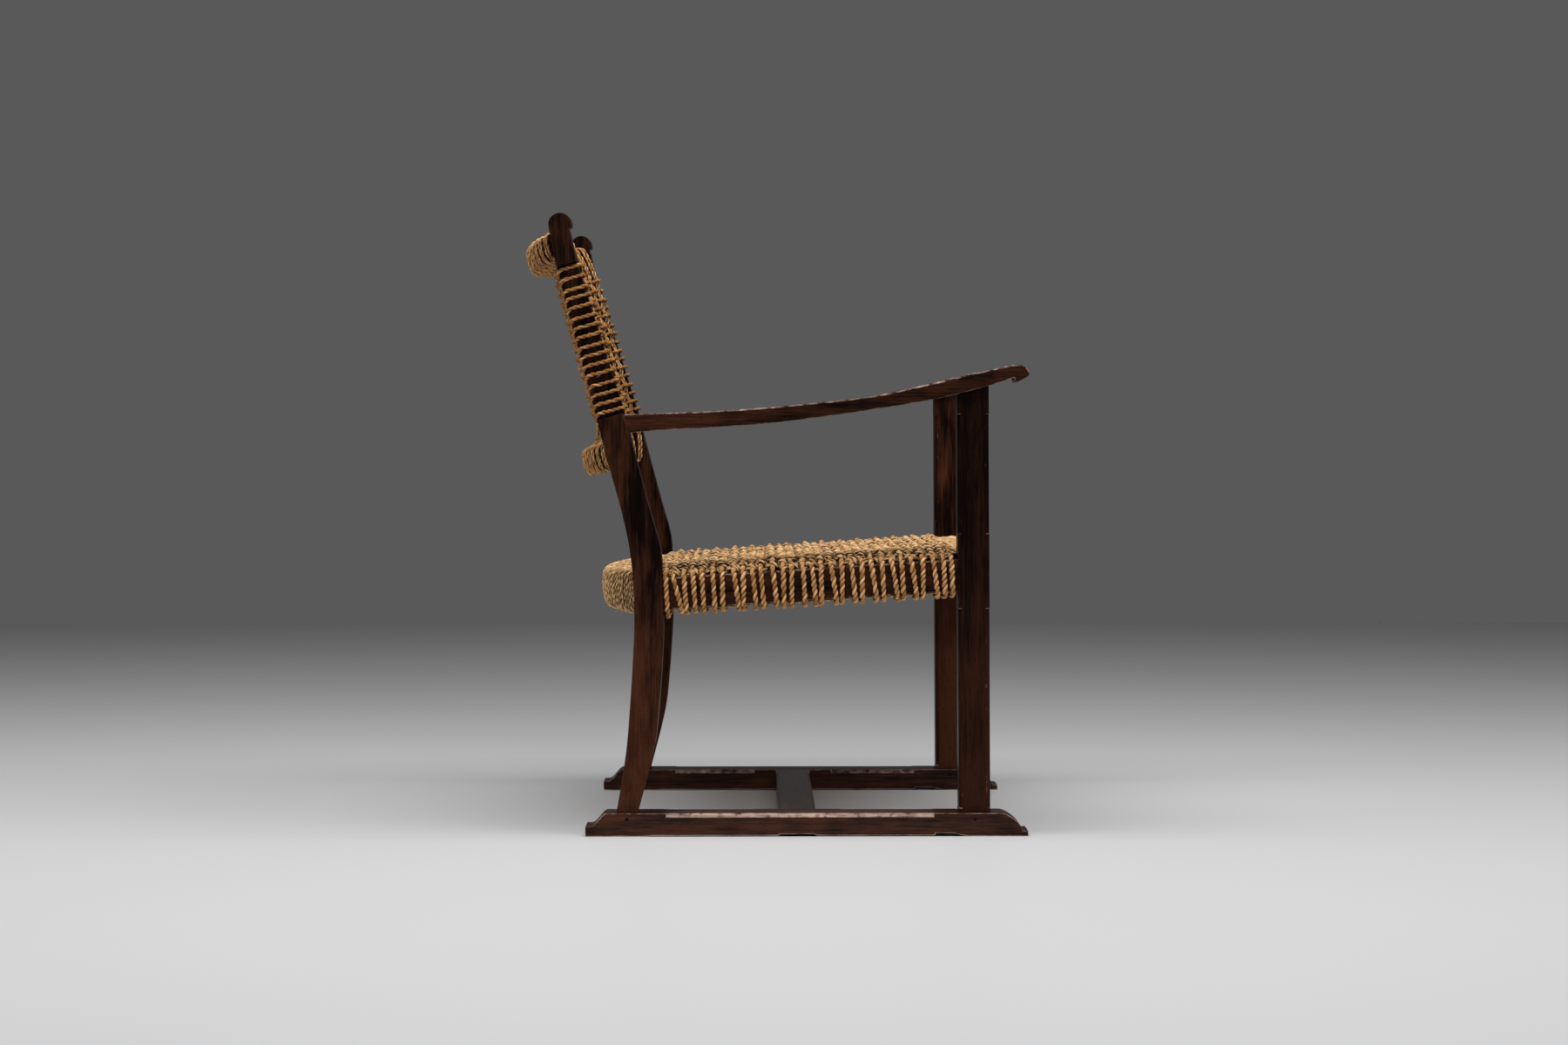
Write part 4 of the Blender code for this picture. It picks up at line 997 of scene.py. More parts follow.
def unroll(mesh, rings):
    """Give a rope a map that lays it out flat, row by row."""
    corners = np.empty(len(mesh.loops), np.int32)
    mesh.loops.foreach_get("vertex_index", corners)
    ring, side = np.divmod(corners.reshape(-1, 4), SECTION_POINTS)
    first = ring.min(axis=1, keepdims=True)
    closing = (side == 0) & (side.max(axis=1, keepdims=True) == SECTION_POINTS - 1)
    side = np.where(closing, SECTION_POINTS, side) / SECTION_POINTS
    row_length = math.ceil(math.sqrt(UNROLLED_SHAPE * rings))
    rows = math.ceil(rings / row_length)
    across = (first % row_length + ring - first) / row_length
    upward = (first // row_length + UNROLLED_MARGIN + (1 - 2 * UNROLLED_MARGIN) * side) / rows
    for layer in list(mesh.uv_layers):
        mesh.uv_layers.remove(layer)
    unrolled = mesh.uv_layers.new(name="OFBake")
    unrolled.data.foreach_set("uv", np.stack((across, upward), axis=-1).astype(np.float32).ravel())


def close_ends(mesh, sides):
    """Close the cut ends of ropes or straws."""
    bm = bmesh.new()
    bm.from_mesh(mesh)
    bmesh.ops.holes_fill(bm, edges=[edge for edge in bm.edges if edge.is_boundary], sides=sides)
    bm.to_mesh(mesh)
    bm.free()


def wander(along, rng, *waves):
    """Waves that start by chance, from pairs of size and length."""
    starts = rng.uniform(0, WAVE_STARTS, len(waves))
    turns = [2 * np.pi * along / length + start for (_, length), start in zip(waves, starts)]
    return sum(size * np.sin(turn) for (size, _), turn in zip(waves, turns))


def add_rope(name, node, run, width, lay, straw, outward, seed):
    """Twist a two-ply rope along its run and put it in the scene."""
    rng = np.random.default_rng(seed)
    section = two_ply_section(width)
    curve = bpy.data.curves.new(name, "CURVE")
    curve.dimensions = "3D"
    curve.twist_mode = "MINIMUM"
    curve.bevel_mode = "OBJECT"
    curve.bevel_object = section
    centres, along = flowing(run, lay / STEPS_PER_LAY)
    points = add_line(curve, centres).points
    slack = wander(along, rng, *[(size, lays * lay) for size, lays in LAY_WAVES])
    points.foreach_set("tilt", 2 * np.pi * along / lay + slack)
    points.foreach_set("radius", 1 + wander(along, rng, *THICKNESS_WAVES))
    ROPE_CENTRES.append(centres)
    mesh = swept_mesh(name, curve)
    mark_strands(mesh, along, centres, outward, width)
    unroll(mesh, len(centres))
    close_ends(mesh, SECTION_POINTS)
    flat = section.data
    bpy.data.objects.remove(section, do_unlink=True)
    bpy.data.curves.remove(flat)
    add_piece(name, mesh, straw, node)


def wind(node, runs, width, lay, straw, outward):
    """Put the ropes of one winding in the scene, numbered where there are several."""
    for index, run in enumerate(runs):
        name = f"{node}_rope_{index + 1}" if len(runs) > 1 else f"{node}_rope"
        add_rope(name, node, run, width, lay, straw, outward, TWIST_SEEDS[node] + index)


def tight(width):
    """Distance from a rail to the middle of a rope wound tight on it."""
    return TIGHT_SHARE * width + ROPE_CLEARANCE


def bend(centre, radius, start, stop):
    """Places on a bend round a rail, as columns of out and up."""
    return np.array(arc(centre, radius, start, stop, BEND_STEPS))


def beyond(values, core):
    """How far values lie outside a core on both sides of nothing."""
    return values - np.clip(values, -core, core)


def fall_off(values, low, high, edge):
    """One between two places, falling smoothly to nothing over an edge outside them."""
    return eased(np.clip(np.minimum(values - low, high - values) / edge + 1, 0, 1))


def uneven(belt, rng, size, side):
    """Winding moved out from its rails a little, by chance, as hand-wound rope lies."""
    run = run_along(belt)
    ways = unit(np.gradient(belt, axis=0))
    knots = np.arange(0, run[-1] + UNEVEN_STEP, UNEVEN_STEP)
    loose = rng.uniform(0, UNEVEN_TURN) + np.interp(run, knots, rng.uniform(0, 1, len(knots)))
    return belt + np.column_stack((-ways[:, 1], ways[:, 0])) * side * size * loose[:, None]


def squared(wave):
    """Flatten the crests of a wave, as where a rope lies over two others."""
    return np.tanh(FLAT_CREST * wave) / math.tanh(FLAT_CREST)


def by_turns(index):
    """One for even numbers and minus one for odd ones."""
    return 1 if index % 2 == 0 else -1


def joined(loops, parts):
    """Loops of a winding as a few runs, each of which ends where the next starts."""
    runs = []
    for group in np.array_split(np.arange(len(loops)), parts):
        after = loops[group[-1] + 1:][:1]
        runs.append(np.vstack([loops[index] for index in group] + [loop[:1] for loop in after]))
    return runs


def warp_runs(places, loop, sign, rng, parts):
    """Warp of turns side by side, each of which ends where the next starts, two and two alike."""
    loops = []
    for index, (x, after) in enumerate(zip(places, [*places[1:], places[-1]])):
        loops.append(loop(x, after, sign * by_turns(index // 2), rng))
    return joined(loops, parts)


# Ropes of the seat

# Half of the mat's width, heights of its middle and its underside, drop along the side rails and waves
SEAT_EDGE = 0.2485
SEAT_MAT_LEVEL, SEAT_UNDERSIDE = 0.0284, -0.0336
SEAT_DROP, SEAT_DROP_START, SEAT_DROP_MOST = 0.0078, 0.20, 1.1
SEAT_WARP_WAVE, SEAT_WEFT_WAVE = 0.0034, 0.0027

# Where rope is on top of the mat, its crests and hollows, and the core that its outer side faces away from,
# which set where grime and painted shade go on the straw
SEAT_TOP_LEVEL, SEAT_TOP_MARGIN = 0.015, 0.005
SEAT_CREST, SEAT_FLAT_CREST, SEAT_HOLLOW = 0.0026, 0.0276, 0.0042
SEAT_OPEN_EDGE, SEAT_SIDE_CORE, SEAT_CORE_LEVEL = 0.221, 0.262, 0.012

# How far chance moves the ropes, their sideways drift as (size, length), and their points underneath
SEAT_WARP_SHIFT, SEAT_WARP_LIFT, SEAT_WARP_SAG, SEAT_WARP_UNEVEN = 0.0012, 0.0015, 0.0012, 0.0009
SEAT_WEFT_LIFT, SEAT_WEFT_RIPPLE, SEAT_WEFT_RIPPLES = 0.0014, 0.0006, 9
SEAT_WARP_DRIFT, SEAT_WEFT_DRIFT = (0.0009, 0.21), (0.0010, 0.16)
WARP_UNDER_POINTS, WEFT_UNDER_POINTS = 22, 24

# Turns of the seat weft round a side rail: forward place at the top, and how much further forward at the foot
SEAT_WRAPS = [
    (0.1112, 0.0000), (0.1214, 0.0124), (0.1365, 0.0034), (0.1489, 0.0038), (0.1613, 0.0030),
    (0.1764, 0.0034), (0.1895, 0.0011), (0.2054, 0.0075), (0.2185, 0.0008), (0.2314, 0.0053),
    (0.2430, 0.0041), (0.2596, 0.0056), (0.2739, 0.0015), (0.2856, 0.0004), (0.3014, 0.0030),
    (0.3138, 0.0056), (0.3262, 0.0011), (0.3402, 0.0079), (0.3552, 0.0008), (0.3684, 0.0056),
    (0.3830, 0.0008), (0.3955, 0.0079), (0.4106, 0.0030), (0.4242, 0.0083), (0.4377, 0.0030),
    (0.4512, 0.0075), (0.4671, 0.0008), (0.4814, 0.0064), (0.4953, 0.0030), (0.5066, 0.0023),
]
SEAT_WEFTS = [(forward - SEAT_REAR[0] + SIDE_RAIL_TOP * SEAT.sin) / SEAT.cos for forward, _ in SEAT_WRAPS]
SEAT_PITCH = (SEAT_WEFTS[-1] - SEAT_WEFTS[0]) / (len(SEAT_WEFTS) - 1)

# Path of a seat weft over the edge of the mat and down round a side rail, as (from middle, up)
OVER_EDGE = [(0.2600, 0.0246), (0.2725, 0.0240), (0.2846, 0.0214), (0.2892, 0.0134)]
UNDER_EDGE = [(0.2600, 0.0224), (0.2738, 0.0226), (0.2853, 0.0203), (0.2893, 0.0130)]
DOWN_RAIL = [
    (0.2896, 0.0020), (0.2896, -0.0110), (0.2894, -0.0200), (0.2870, -0.0268), (0.2800, -0.0302),
    (0.2680, -0.0308), (0.2500, -0.0328),
]

# How that path changes: higher on the far side, slack below the rail, and a lean that grows downwards
FAR_KNOT = 0.0068
WRAP_SLACK, FIRST_WRAP_SLACK, SLACK_BELOW, SLACK_OUTSIDE = 0.0012, 0.0042, -0.024, 0.262
UPRIGHT_LEAN, LEAN_TOP, LEAN_HEIGHT = 0.0031, 0.020, 0.046


def mat_level(x):
    """Height of the middle of the seat's weave, which is drawn down along the side rails."""
    share = (np.abs(x) - SEAT_DROP_START) / (SEAT_EDGE - SEAT_DROP_START)
    return SEAT_MAT_LEVEL - SEAT_DROP * np.clip(share, 0, SEAT_DROP_MOST) ** 2


def on_mat(out):
    """One where the seat is woven, nothing in front of it and behind it."""
    return fall_off(out, SEAT_WEFTS[0], SEAT_WEFTS[-1], SEAT_PITCH)


def seat_outward(points):
    """Directions from the core of the seat to points of its ropes, and how far each lies below the crests."""
    x, out, up = SEAT.local(points)
    rear = -SEAT_BOW * bow_share(x)
    inside = (np.abs(x) < SEAT_EDGE + SEAT_TOP_MARGIN) & (out > rear) & (out < SEAT_SPAN)
    on_top = inside & (up > SEAT_TOP_LEVEL)
    side = np.where(on_top, SEAT_OPEN_EDGE, SEAT_SIDE_CORE)
    ways = SEAT.heading(beyond(x, side), out - np.clip(out, rear, SEAT_SPAN), beyond(up, SEAT_CORE_LEVEL))
    covered = 1 - np.clip((np.abs(x) - SEAT_OPEN_EDGE) / (SEAT_EDGE - SEAT_OPEN_EDGE), 0, 1)
    crest = SEAT_FLAT_CREST + on_mat(out) * (mat_level(x) + SEAT_CREST - SEAT_FLAT_CREST)
    return ways, np.where(on_top, covered * np.clip((up - crest) / SEAT_HOLLOW, -1, 0), 0)


def seat_warp_loop(x, after, sign, rng):
    """One turn of the seat warp: up the rear rail, over the mat, down the front rail and back underneath."""
    out_of_rail = tight(bpy.context.scene.chair_rope.seat_warp_width)
    lift, turn = SEAT_RAIL_DEPTH / 2 + out_of_rail, RAIL_ROUND + out_of_rail
    level, half = SEAT_RAIL_DEPTH / 2 - RAIL_ROUND, SEAT_RAIL_THICKNESS / 2 - RAIL_ROUND
    front = SEAT_SPAN + half
    rear, rear_after = (-SEAT_BOW * bow_share(place) - half for place in (x, after))
    out = np.arange(rear, front, SEAT_PITCH / STEPS_PER_WEFT)
    wefts = np.arange(len(SEAT_WEFTS))
    phase = np.interp(out, SEAT_WEFTS, wefts)
    wave = sign * SEAT_WARP_WAVE * np.cos(np.pi * phase)
    wave += SEAT_WARP_LIFT * np.interp(phase, wefts, rng.uniform(-1, 1, len(wefts)))
    top = np.column_stack((out, lift + on_mat(out) * (mat_level(x) - lift + wave)))[1:]
    sag = SEAT_WARP_SAG * np.sin(np.linspace(0, np.pi, WARP_UNDER_POINTS)) * rng.uniform(0, 1)
    under = np.column_stack((np.linspace(front, rear_after, WARP_UNDER_POINTS), -lift - sag))[1:]
    rear_bends = np.vstack((bend((rear, -level), turn, 270, 180), bend((rear, level), turn, 180, 90)))
    front_bends = np.vstack((bend((front, level), turn, 90, 0), bend((front, -level), turn, 0, -90)))
    belt = uneven(np.vstack((rear_bends, top, front_bends, under)), rng, SEAT_WARP_UNEVEN, 1)
    shift = np.concatenate((
        np.zeros(len(rear_bends)),
        wander(top[:, 0], rng, SEAT_WARP_DRIFT) * on_mat(top[:, 0]),
        np.zeros(len(front_bends)),
        np.linspace(0, after - x, WARP_UNDER_POINTS)[1:],
    ))
    return SEAT.at(x + shift, belt[:, 0], belt[:, 1])


def seat_warp_runs(parts):
    """Warp of the seat, wound round the front and rear rails."""
    count = bpy.context.scene.chair_rope.seat_warp_count
    rng = np.random.default_rng(PLACE_SEEDS["seat_warp"])
    places = np.linspace(-SEAT_EDGE, SEAT_EDGE, count)
    places[1:-1] += rng.uniform(-SEAT_WARP_SHIFT, SEAT_WARP_SHIFT, count - 2)
    return warp_runs(places, seat_warp_loop, -1, rng, parts)


def seat_wrap(index, side, rng):
    """Part of a seat weft from the edge of the mat down round a side rail, as across, out and up."""
    under = by_turns(index) == side
    across, up = np.array((UNDER_EDGE if under else OVER_EDGE) + DOWN_RAIL).T
    if side > 0 and not under:
        up[:2] += FAR_KNOT
    slack = WRAP_SLACK * rng.uniform(0, 1) if index else FIRST_WRAP_SLACK
    up -= np.where((up < SLACK_BELOW) & (across > SLACK_OUTSIDE), slack, 0)
    lean = SEAT_WRAPS[index if side < 0 else index ^ 1][1] - UPRIGHT_LEAN if index else 0.0
    out = SEAT_WEFTS[index] + lean * np.clip((LEAN_TOP - up) / LEAN_HEIGHT, 0, 1)
    return np.column_stack((side * across, out, up))


def seat_weft_runs(parts):
    """Weft of the seat, over two and under two of the warp, round the side rails and back underneath."""
    warps = bpy.context.scene.chair_rope.seat_warp_count
    rng = np.random.default_rng(PLACE_SEEDS["seat_weft"])
    pair = 4 * SEAT_EDGE / (warps - 1)
    across = np.arange(-SEAT_EDGE + pair / 8, SEAT_EDGE, pair / STEPS_PER_PAIR)
    wave = squared(np.sin(np.pi * (across + SEAT_EDGE + pair / 4) / pair))[::-1]
    knots = np.linspace(across[0], across[-1], warps)
    turns = []
    for index, out in enumerate(SEAT_WEFTS):
        up = mat_level(across) + by_turns(index) * SEAT_WEFT_WAVE * wave
        up += SEAT_WEFT_LIFT * np.interp(across, knots, rng.uniform(-1, 1, warps))
        top = np.column_stack((across[::-1], out + wander(across, rng, SEAT_WEFT_DRIFT), up))
        turns.append(np.vstack((seat_wrap(index, 1, rng)[::-1], top, seat_wrap(index, -1, rng))))
    share = np.linspace(0, 1, WEFT_UNDER_POINTS)[1:-1, None]
    loops = []
    for turn, after in zip(turns, turns[1:]):
        under = turn[-1] + (after[0] - turn[-1]) * share
        under[:, 2] = SEAT_UNDERSIDE - SEAT_WEFT_RIPPLE * np.sin(SEAT_WEFT_RIPPLES * np.pi * share[:, 0])
        loops.append(np.vstack((turn, under)))
    return joined([SEAT.at(*loop.T) for loop in loops + turns[-1:]], parts)


# Ropes of the back

# Half of the panel's width, half the gap in a pair of warps, and the layers and waves of the weave
BACK_EDGE, BACK_PAIR_HALF = 0.2312, 0.0047
BACK_LAYER, BACK_WARP_WAVE, BACK_WEFT_WAVE = 0.0060, 0.0013, 0.0050

# Cores of posts and rails that rope's outer side faces away from, where rope is round them, and hollows,
# which set where grime and painted shade go on the straw
BACK_POST_CORE, BACK_RAIL_CORE, BACK_RAIL_CORE_HEIGHT = 0.010, 0.006, 0.009
BACK_POST_MARGIN, BACK_RAIL_ZONE, BACK_HOLLOW_SHARE = 0.006, 0.028, 0.5

# How far chance moves the ropes, and the share of the step to the next warp that is made below the lower rail
BACK_PAIR_SLACK, BACK_PAIR_SHIFT = (-0.0008, 0.0012), 0.0015
BACK_WARP_UNEVEN, BACK_WARP_DRIFT, BACK_STEP_SHARE = 0.0004, 0.0012, 0.15
BACK_TURN_SLACK, BACK_WEFT_DRIFT = 0.0016, (0.0011, 0.19)

# Where a warp leaves the rails: the angle in front, and how far off them it is behind
BACK_LEAVE_ANGLE, BACK_TOP_TUCK, BACK_LOWER_TUCK = 8, 0.002, 0.004

# Woven stretch of the weft, its fall round a post as a share of the pitch, and how it hugs the post, in radii
BACK_WEFT_REACH, BACK_WEFT_POINTS, BACK_FALL = 0.238, 141, 0.65
POST_HUG, POST_CORNER = 0.40, 0.29


def back_pitch():
    """Distance between the turns of the back weft."""
    return (RECESS_HEAD - RECESS_FOOT) / bpy.context.scene.chair_rope.back_turns


def back_outward(points):
    """Directions from the core of the back to points of its ropes, and how far each lies in the hollows."""
    x, out, up = BACK.local(points)
    on_post = np.abs(x) > POST_INNER - BACK_POST_MARGIN
    on_rail = ((up < BACK_RAIL_ZONE) | (up > BACK_SPAN - BACK_RAIL_ZONE)) & ~on_post
    round_post = beyond(out, BACK_POST_CORE)
    round_rail = beyond(out + BACK_BOW * bow_share(x), BACK_RAIL_CORE)
    ahead = np.select([on_post, on_rail], [round_post, round_rail], out - back_panel(x))
    above = beyond(np.where(up > BACK_SPAN / 2, up - BACK_SPAN, up), BACK_RAIL_CORE_HEIGHT)
    across = np.where(on_post, beyond(x, POST_X), 0.0)
    hollow = BACK_HOLLOW_SHARE * np.clip((np.abs(ahead) - BACK_LAYER) / BACK_WEFT_WAVE, -1, 0)
    return BACK.heading(across, ahead, np.where(on_rail, above, 0.0)), np.where(on_post | on_rail, 0, hollow)


def back_warp_loop(x, after, sign, rng):
    """One turn of the back warp: up in front, over the top rail, down behind and round the lower rail."""
    turn = RAIL_ROUND + tight(bpy.context.scene.chair_rope.back_width)
    out, end = BACK_RAIL_THICKNESS / 2 - RAIL_ROUND, BACK_RAIL_DEPTH / 2 - RAIL_ROUND
    rail, panel = -BACK_BOW * bow_share(x), back_panel(x)
    pitch = back_pitch()
    heights = np.arange(RECESS_FOOT, RECESS_HEAD, pitch / STEPS_PER_WEFT)
    wave = -sign * BACK_WARP_WAVE * np.cos(np.pi * (heights - RECESS_FOOT - pitch / 2) / pitch)
    foot = bend((rail + out, -end), turn, -90, -BACK_LEAVE_ANGLE)
    front = np.column_stack((panel + BACK_LAYER + wave, heights))
    over = np.vstack((
        bend((rail + out, BACK_SPAN + end), turn, BACK_LEAVE_ANGLE, 90),
        bend((rail - out, BACK_SPAN + end), turn, 90, 180),
        bend((rail - out, BACK_SPAN - end), turn, 180, 270),
        [(rail + out / 2, BACK_SPAN - end - turn - BACK_TOP_TUCK)],
    ))
    rear = np.column_stack((panel - BACK_LAYER + wave, heights))[::-1]
    below = np.vstack((
        [(rail + out, end + turn + BACK_LOWER_TUCK)],
        bend((rail - out, end), turn, 90, 180),
        bend((rail - out, -end), turn, 180, 270),
    ))
    stretches = (foot, front, over, rear, below)
    belt = uneven(np.vstack(stretches), rng, BACK_WARP_UNEVEN, -1)
    shifts = [np.zeros(len(stretch)) for stretch in stretches]
    bulge = np.sin(np.linspace(0, np.pi, len(heights)))
    shifts[1], shifts[3] = (drift * bulge for drift in rng.uniform(-BACK_WARP_DRIFT, BACK_WARP_DRIFT, 2))
    shifts[-1][-1] = BACK_STEP_SHARE * (after - x)
    return BACK.at(x + np.concatenate(shifts), belt[:, 0], belt[:, 1])


def back_warp_runs(parts):
    """Warp of the back: pairs wound round both rails, drawn together into one panel between them."""
    rng = np.random.default_rng(PLACE_SEEDS["back_warp"])
    places = []
    for middle in np.linspace(-BACK_EDGE, BACK_EDGE, bpy.context.scene.chair_rope.back_pairs):
        half = BACK_PAIR_HALF + rng.uniform(*BACK_PAIR_SLACK)
        shift = rng.uniform(-BACK_PAIR_SHIFT, BACK_PAIR_SHIFT)
        places += [middle + shift - half, middle + shift + half]
    return warp_runs(places, back_warp_loop, 1, rng, parts)


def back_weft_row(start, stop, layer, sign, rng):
    """Stretch of the back weft from post to post, in front of the panel or behind it."""
    across = np.linspace(-BACK_WEFT_REACH, BACK_WEFT_REACH, BACK_WEFT_POINTS)
    step = 2 * BACK_EDGE / (bpy.context.scene.chair_rope.back_pairs - 1)
    wave = squared(np.sin(np.pi * ((across + BACK_EDGE) / step + 0.5)))
    up = np.interp(across, (across[0], across[-1]), (start, stop)) + wander(across, rng, BACK_WEFT_DRIFT)
    return np.column_stack((across, back_panel(across) + layer + sign * BACK_WEFT_WAVE * wave, up))


def back_wrap(side, up, fall):
    """Turn of the back weft round the recess of a post, from its front to its rear."""
    radius = tight(bpy.context.scene.chair_rope.back_width)
    corner = POST_CORNER * radius
    front = BACK.reach(post_front, up) + radius
    rear = BACK.reach(post_rear, up) - POST_HUG * radius
    recess = POST_OUTER - POST_RECESS_DEPTH
    outer = recess + radius
    across, out, fallen = np.array([
        (POST_INNER - 0.003, front + 0.0004, 0),
        (POST_INNER + 0.010, front + 0.0002, 0),
        (recess - 0.002, front, 0),
        (outer - corner, front - corner, 0),
        (outer, front - 1.2 * radius, 0.01),
        (outer, (front + rear) / 2, 0.04),
        (outer, rear + 1.3 * radius, 0.16),
        (outer - corner, rear + corner, 0.42),
        (recess - 0.003, rear, 0.74),
        (recess - 0.011, rear, 0.96),
        (POST_INNER + 0.004, rear, 1),
        (POST_INNER - 0.002, rear + 0.003, 1),
    ]).T
    return np.column_stack((side * across, out, up - fallen * fall))


def back_weft_run():
    """Weft of the back: woven across, round the recess of one post, back behind and round the other."""
    turns = bpy.context.scene.chair_rope.back_turns
    rng = np.random.default_rng(PLACE_SEEDS["back_weft"])
    pitch = back_pitch()
    fall = BACK_FALL * pitch
    levels = RECESS_HEAD - pitch * (np.arange(turns) + 0.5)
    levels += rng.uniform(-BACK_TURN_SLACK, BACK_TURN_SLACK, turns)
    route = []
    for index, up in enumerate(levels):
        route.append(back_weft_row(up, up, BACK_LAYER, by_turns(index), rng)[::-1])
        route.append(back_wrap(-1, up, fall))
        if index + 1 < turns:
            after = levels[index + 1]
            route.append(back_weft_row(up - fall, after + fall, -BACK_LAYER, -by_turns(index), rng))
            route.append(back_wrap(1, after, -fall)[::-1])
    return BACK.at(*np.vstack(route).T)


# Loose straw: radius, distance from the rope's middle, taper, curl, lengths and how steeply it rises
FIBRE_RADIUS, FIBRE_ROOT, FIBRE_TAPER, FIBRE_CURL = 0.00016, 0.0022, 0.85, 0.5
FIBRE_LENGTHS, FIBRE_RISES = (0.006, 0.018), (0.15, 0.5)
FIBRE_STEPS, FIBRE_SIDES = 4, 4


def loose_fibre_mesh(name):
    """Short bent straw ends that stand off the ropes."""
    rng = np.random.default_rng(PLACE_SEEDS[name])
    centres = np.vstack(ROPE_CENTRES)
    curve = bpy.data.curves.new(name, "CURVE")
    curve.dimensions = "3D"
    curve.bevel_depth = FIBRE_RADIUS
    curve.bevel_resolution = 0
    share = np.linspace(0, 1, FIBRE_STEPS + 1)[:, None]
    for _ in range(bpy.context.scene.chair_rope.fibres):
        index = int(rng.integers(2, len(centres) - 2))
        along = unit(centres[index + 1] - centres[index - 1])
        off = unit(np.cross(along, rng.normal(size=3)))
        length = rng.uniform(*FIBRE_LENGTHS)
        rise = rng.uniform(*FIBRE_RISES)
        curl = np.cross(along, off) * rng.uniform(-FIBRE_CURL, FIBRE_CURL)
        straw = centres[index] + off * FIBRE_ROOT + length * share * (off * rise + along + curl * share)
        add_line(curve, straw).points.foreach_set("radius", 1 - FIBRE_TAPER * share[:, 0])
    mesh = swept_mesh(name, curve)
    close_ends(mesh, FIBRE_SIDES)
    return mesh


# Operators for the pieces

# How much lighter each front leg is than the stain that is set, which is painted light: the far left leg is
# painted lighter than the near right one, as it catches more light; and how little uprights are rubbed
LEG_PAINTED_LIGHT = {"right": 1.0, "left": 2.1}
UPRIGHT_RUB = -0.12


class CHAIR_OT_runners(bpy.types.Operator):
    """Make the two sled runners"""

    bl_idname = "chair.runners"
    bl_label = "Runners"

    def execute(self, context):
        wood = wood_finish("runner_wood_worn", "forward", lift=2.5, rub=0.12, gloss=0.12, scuff=0.007)
        add_pair("runner", make_runner, wood)
        return {"FINISHED"}


class CHAIR_OT_stretcher(bpy.types.Operator):
    """Make the cross stretcher"""

    bl_idname = "chair.stretcher"
    bl_label = "Cross Stretcher"

    def execute(self, context):
        wood = wood_finish("stretcher_wood_worn", "across", lift=2.6, gloss=0.8)
        add_timber(make_stretcher(), "cross_stretcher", wood)
        return {"FINISHED"}


class CHAIR_OT_front_legs(bpy.types.Operator):
    """Make the front legs"""

    bl_idname = "chair.front_legs"
    bl_label = "Front Legs"

    def execute(self, context):
        for word, side in SIDES:
            # Painted light: the far left leg's material is painted lighter than the near right one's
            wood = wood_finish(f"leg_wood_{word}", "upright", lift=LEG_PAINTED_LIGHT[word], rub=UPRIGHT_RUB)
            add_timber(make_front_leg(side), f"front_leg_{word}", wood)
        return {"FINISHED"}


class CHAIR_OT_rear_posts(bpy.types.Operator):
    """Make the curved rear posts"""

    bl_idname = "chair.rear_posts"
    bl_label = "Rear Posts"

    def execute(self, context):
        wood = wood_finish("post_wood_worn", "upright", lift=2.1, rub=UPRIGHT_RUB)
        add_pair("rear_post", make_rear_post, wood)
        return {"FINISHED"}


class CHAIR_OT_arms(bpy.types.Operator):
    """Make the arms"""

    bl_idname = "chair.arms"
    bl_label = "Arms"

    def execute(self, context):
        wood = wood_finish("arm_wood_worn", "forward", lift=1.9, rub=0.10)
        add_pair("arm", make_arm, wood)
        return {"FINISHED"}


class CHAIR_OT_side_rails(bpy.types.Operator):
    """Make the side rails of the seat"""

    bl_idname = "chair.side_rails"
    bl_label = "Side Rails"

    def execute(self, context):
        wood = wood_finish("side_rail_wood_worn", "forward", lift=2.4, rub=0.08)
        add_pair("seat_side_rail", make_side_rail, wood)
        return {"FINISHED"}


class CHAIR_OT_cross_rails(bpy.types.Operator):
    """Make the rails that the warps are wound round"""

    bl_idname = "chair.cross_rails"
    bl_label = "Cross Rails"

    def execute(self, context):
        wood = wood_finish("cross_rail_wood_worn", "across")
        seat = (SEAT_RAIL_THICKNESS, SEAT_RAIL_DEPTH)
        back = (BACK_RAIL_THICKNESS, BACK_RAIL_DEPTH)
        for node, plane, out, up, section, bow in (
            ("seat_front_rail", SEAT, SEAT_SPAN, 0, seat, 0),
            ("seat_rear_rail", SEAT, 0, 0, seat, SEAT_BOW),
            ("back_top_rail", BACK, 0, BACK_SPAN, back, BACK_BOW),
            ("back_lower_rail", BACK, 0, 0, back, BACK_BOW),
        ):
            add_timber(make_cross_rail(plane, out, up, *section, bow), node, wood)
        return {"FINISHED"}


class CHAIR_OT_pegs(bpy.types.Operator):
    """Make the pegs through the runners"""

    bl_idname = "chair.pegs"
    bl_label = "Pegs"

    def execute(self, context):
        wood = wood_finish("peg_wood_worn", "across", lift=0.5)
        places = {"front": leg_rear(RUNNER_HEIGHT) + LEG_DEPTH / 2, "rear": post_middle(RUNNER_HEIGHT)}
        for end, forward in places.items():
            for word, side in SIDES:
                add_timber(make_peg(side, forward), f"{end}_peg_{word}", wood)
        return {"FINISHED"}


class CHAIR_OT_seat_warp(bpy.types.Operator):
    """Wind the warp of the seat"""

    bl_idname = "chair.seat_warp"
    bl_label = "Seat Warp"

    def execute(self, context):
        rope, colours = context.scene.chair_rope, context.scene.chair_colours
        straw = straw_finish("seat_warp_straw", colours.straw_pale, browning=-0.05, dirt_and_shade=0.90, hollow=(0.15, 0.95))
        wind("seat_warp", seat_warp_runs(parts=4), rope.seat_warp_width, rope.seat_lay, straw, seat_outward)
        return {"FINISHED"}


class CHAIR_OT_seat_weft(bpy.types.Operator):
    """Weave the weft of the seat"""

    bl_idname = "chair.seat_weft"
    bl_label = "Seat Weft"

    def execute(self, context):
        rope, colours = context.scene.chair_rope, context.scene.chair_colours
        straw = straw_finish("seat_weft_straw", colours.straw_aged, browning=0.11, dirt_and_shade=0.68, hollow=(-0.65, 0.55))
        wind("seat_weft", seat_weft_runs(parts=2), rope.seat_weft_width, rope.seat_lay, straw, seat_outward)
        return {"FINISHED"}


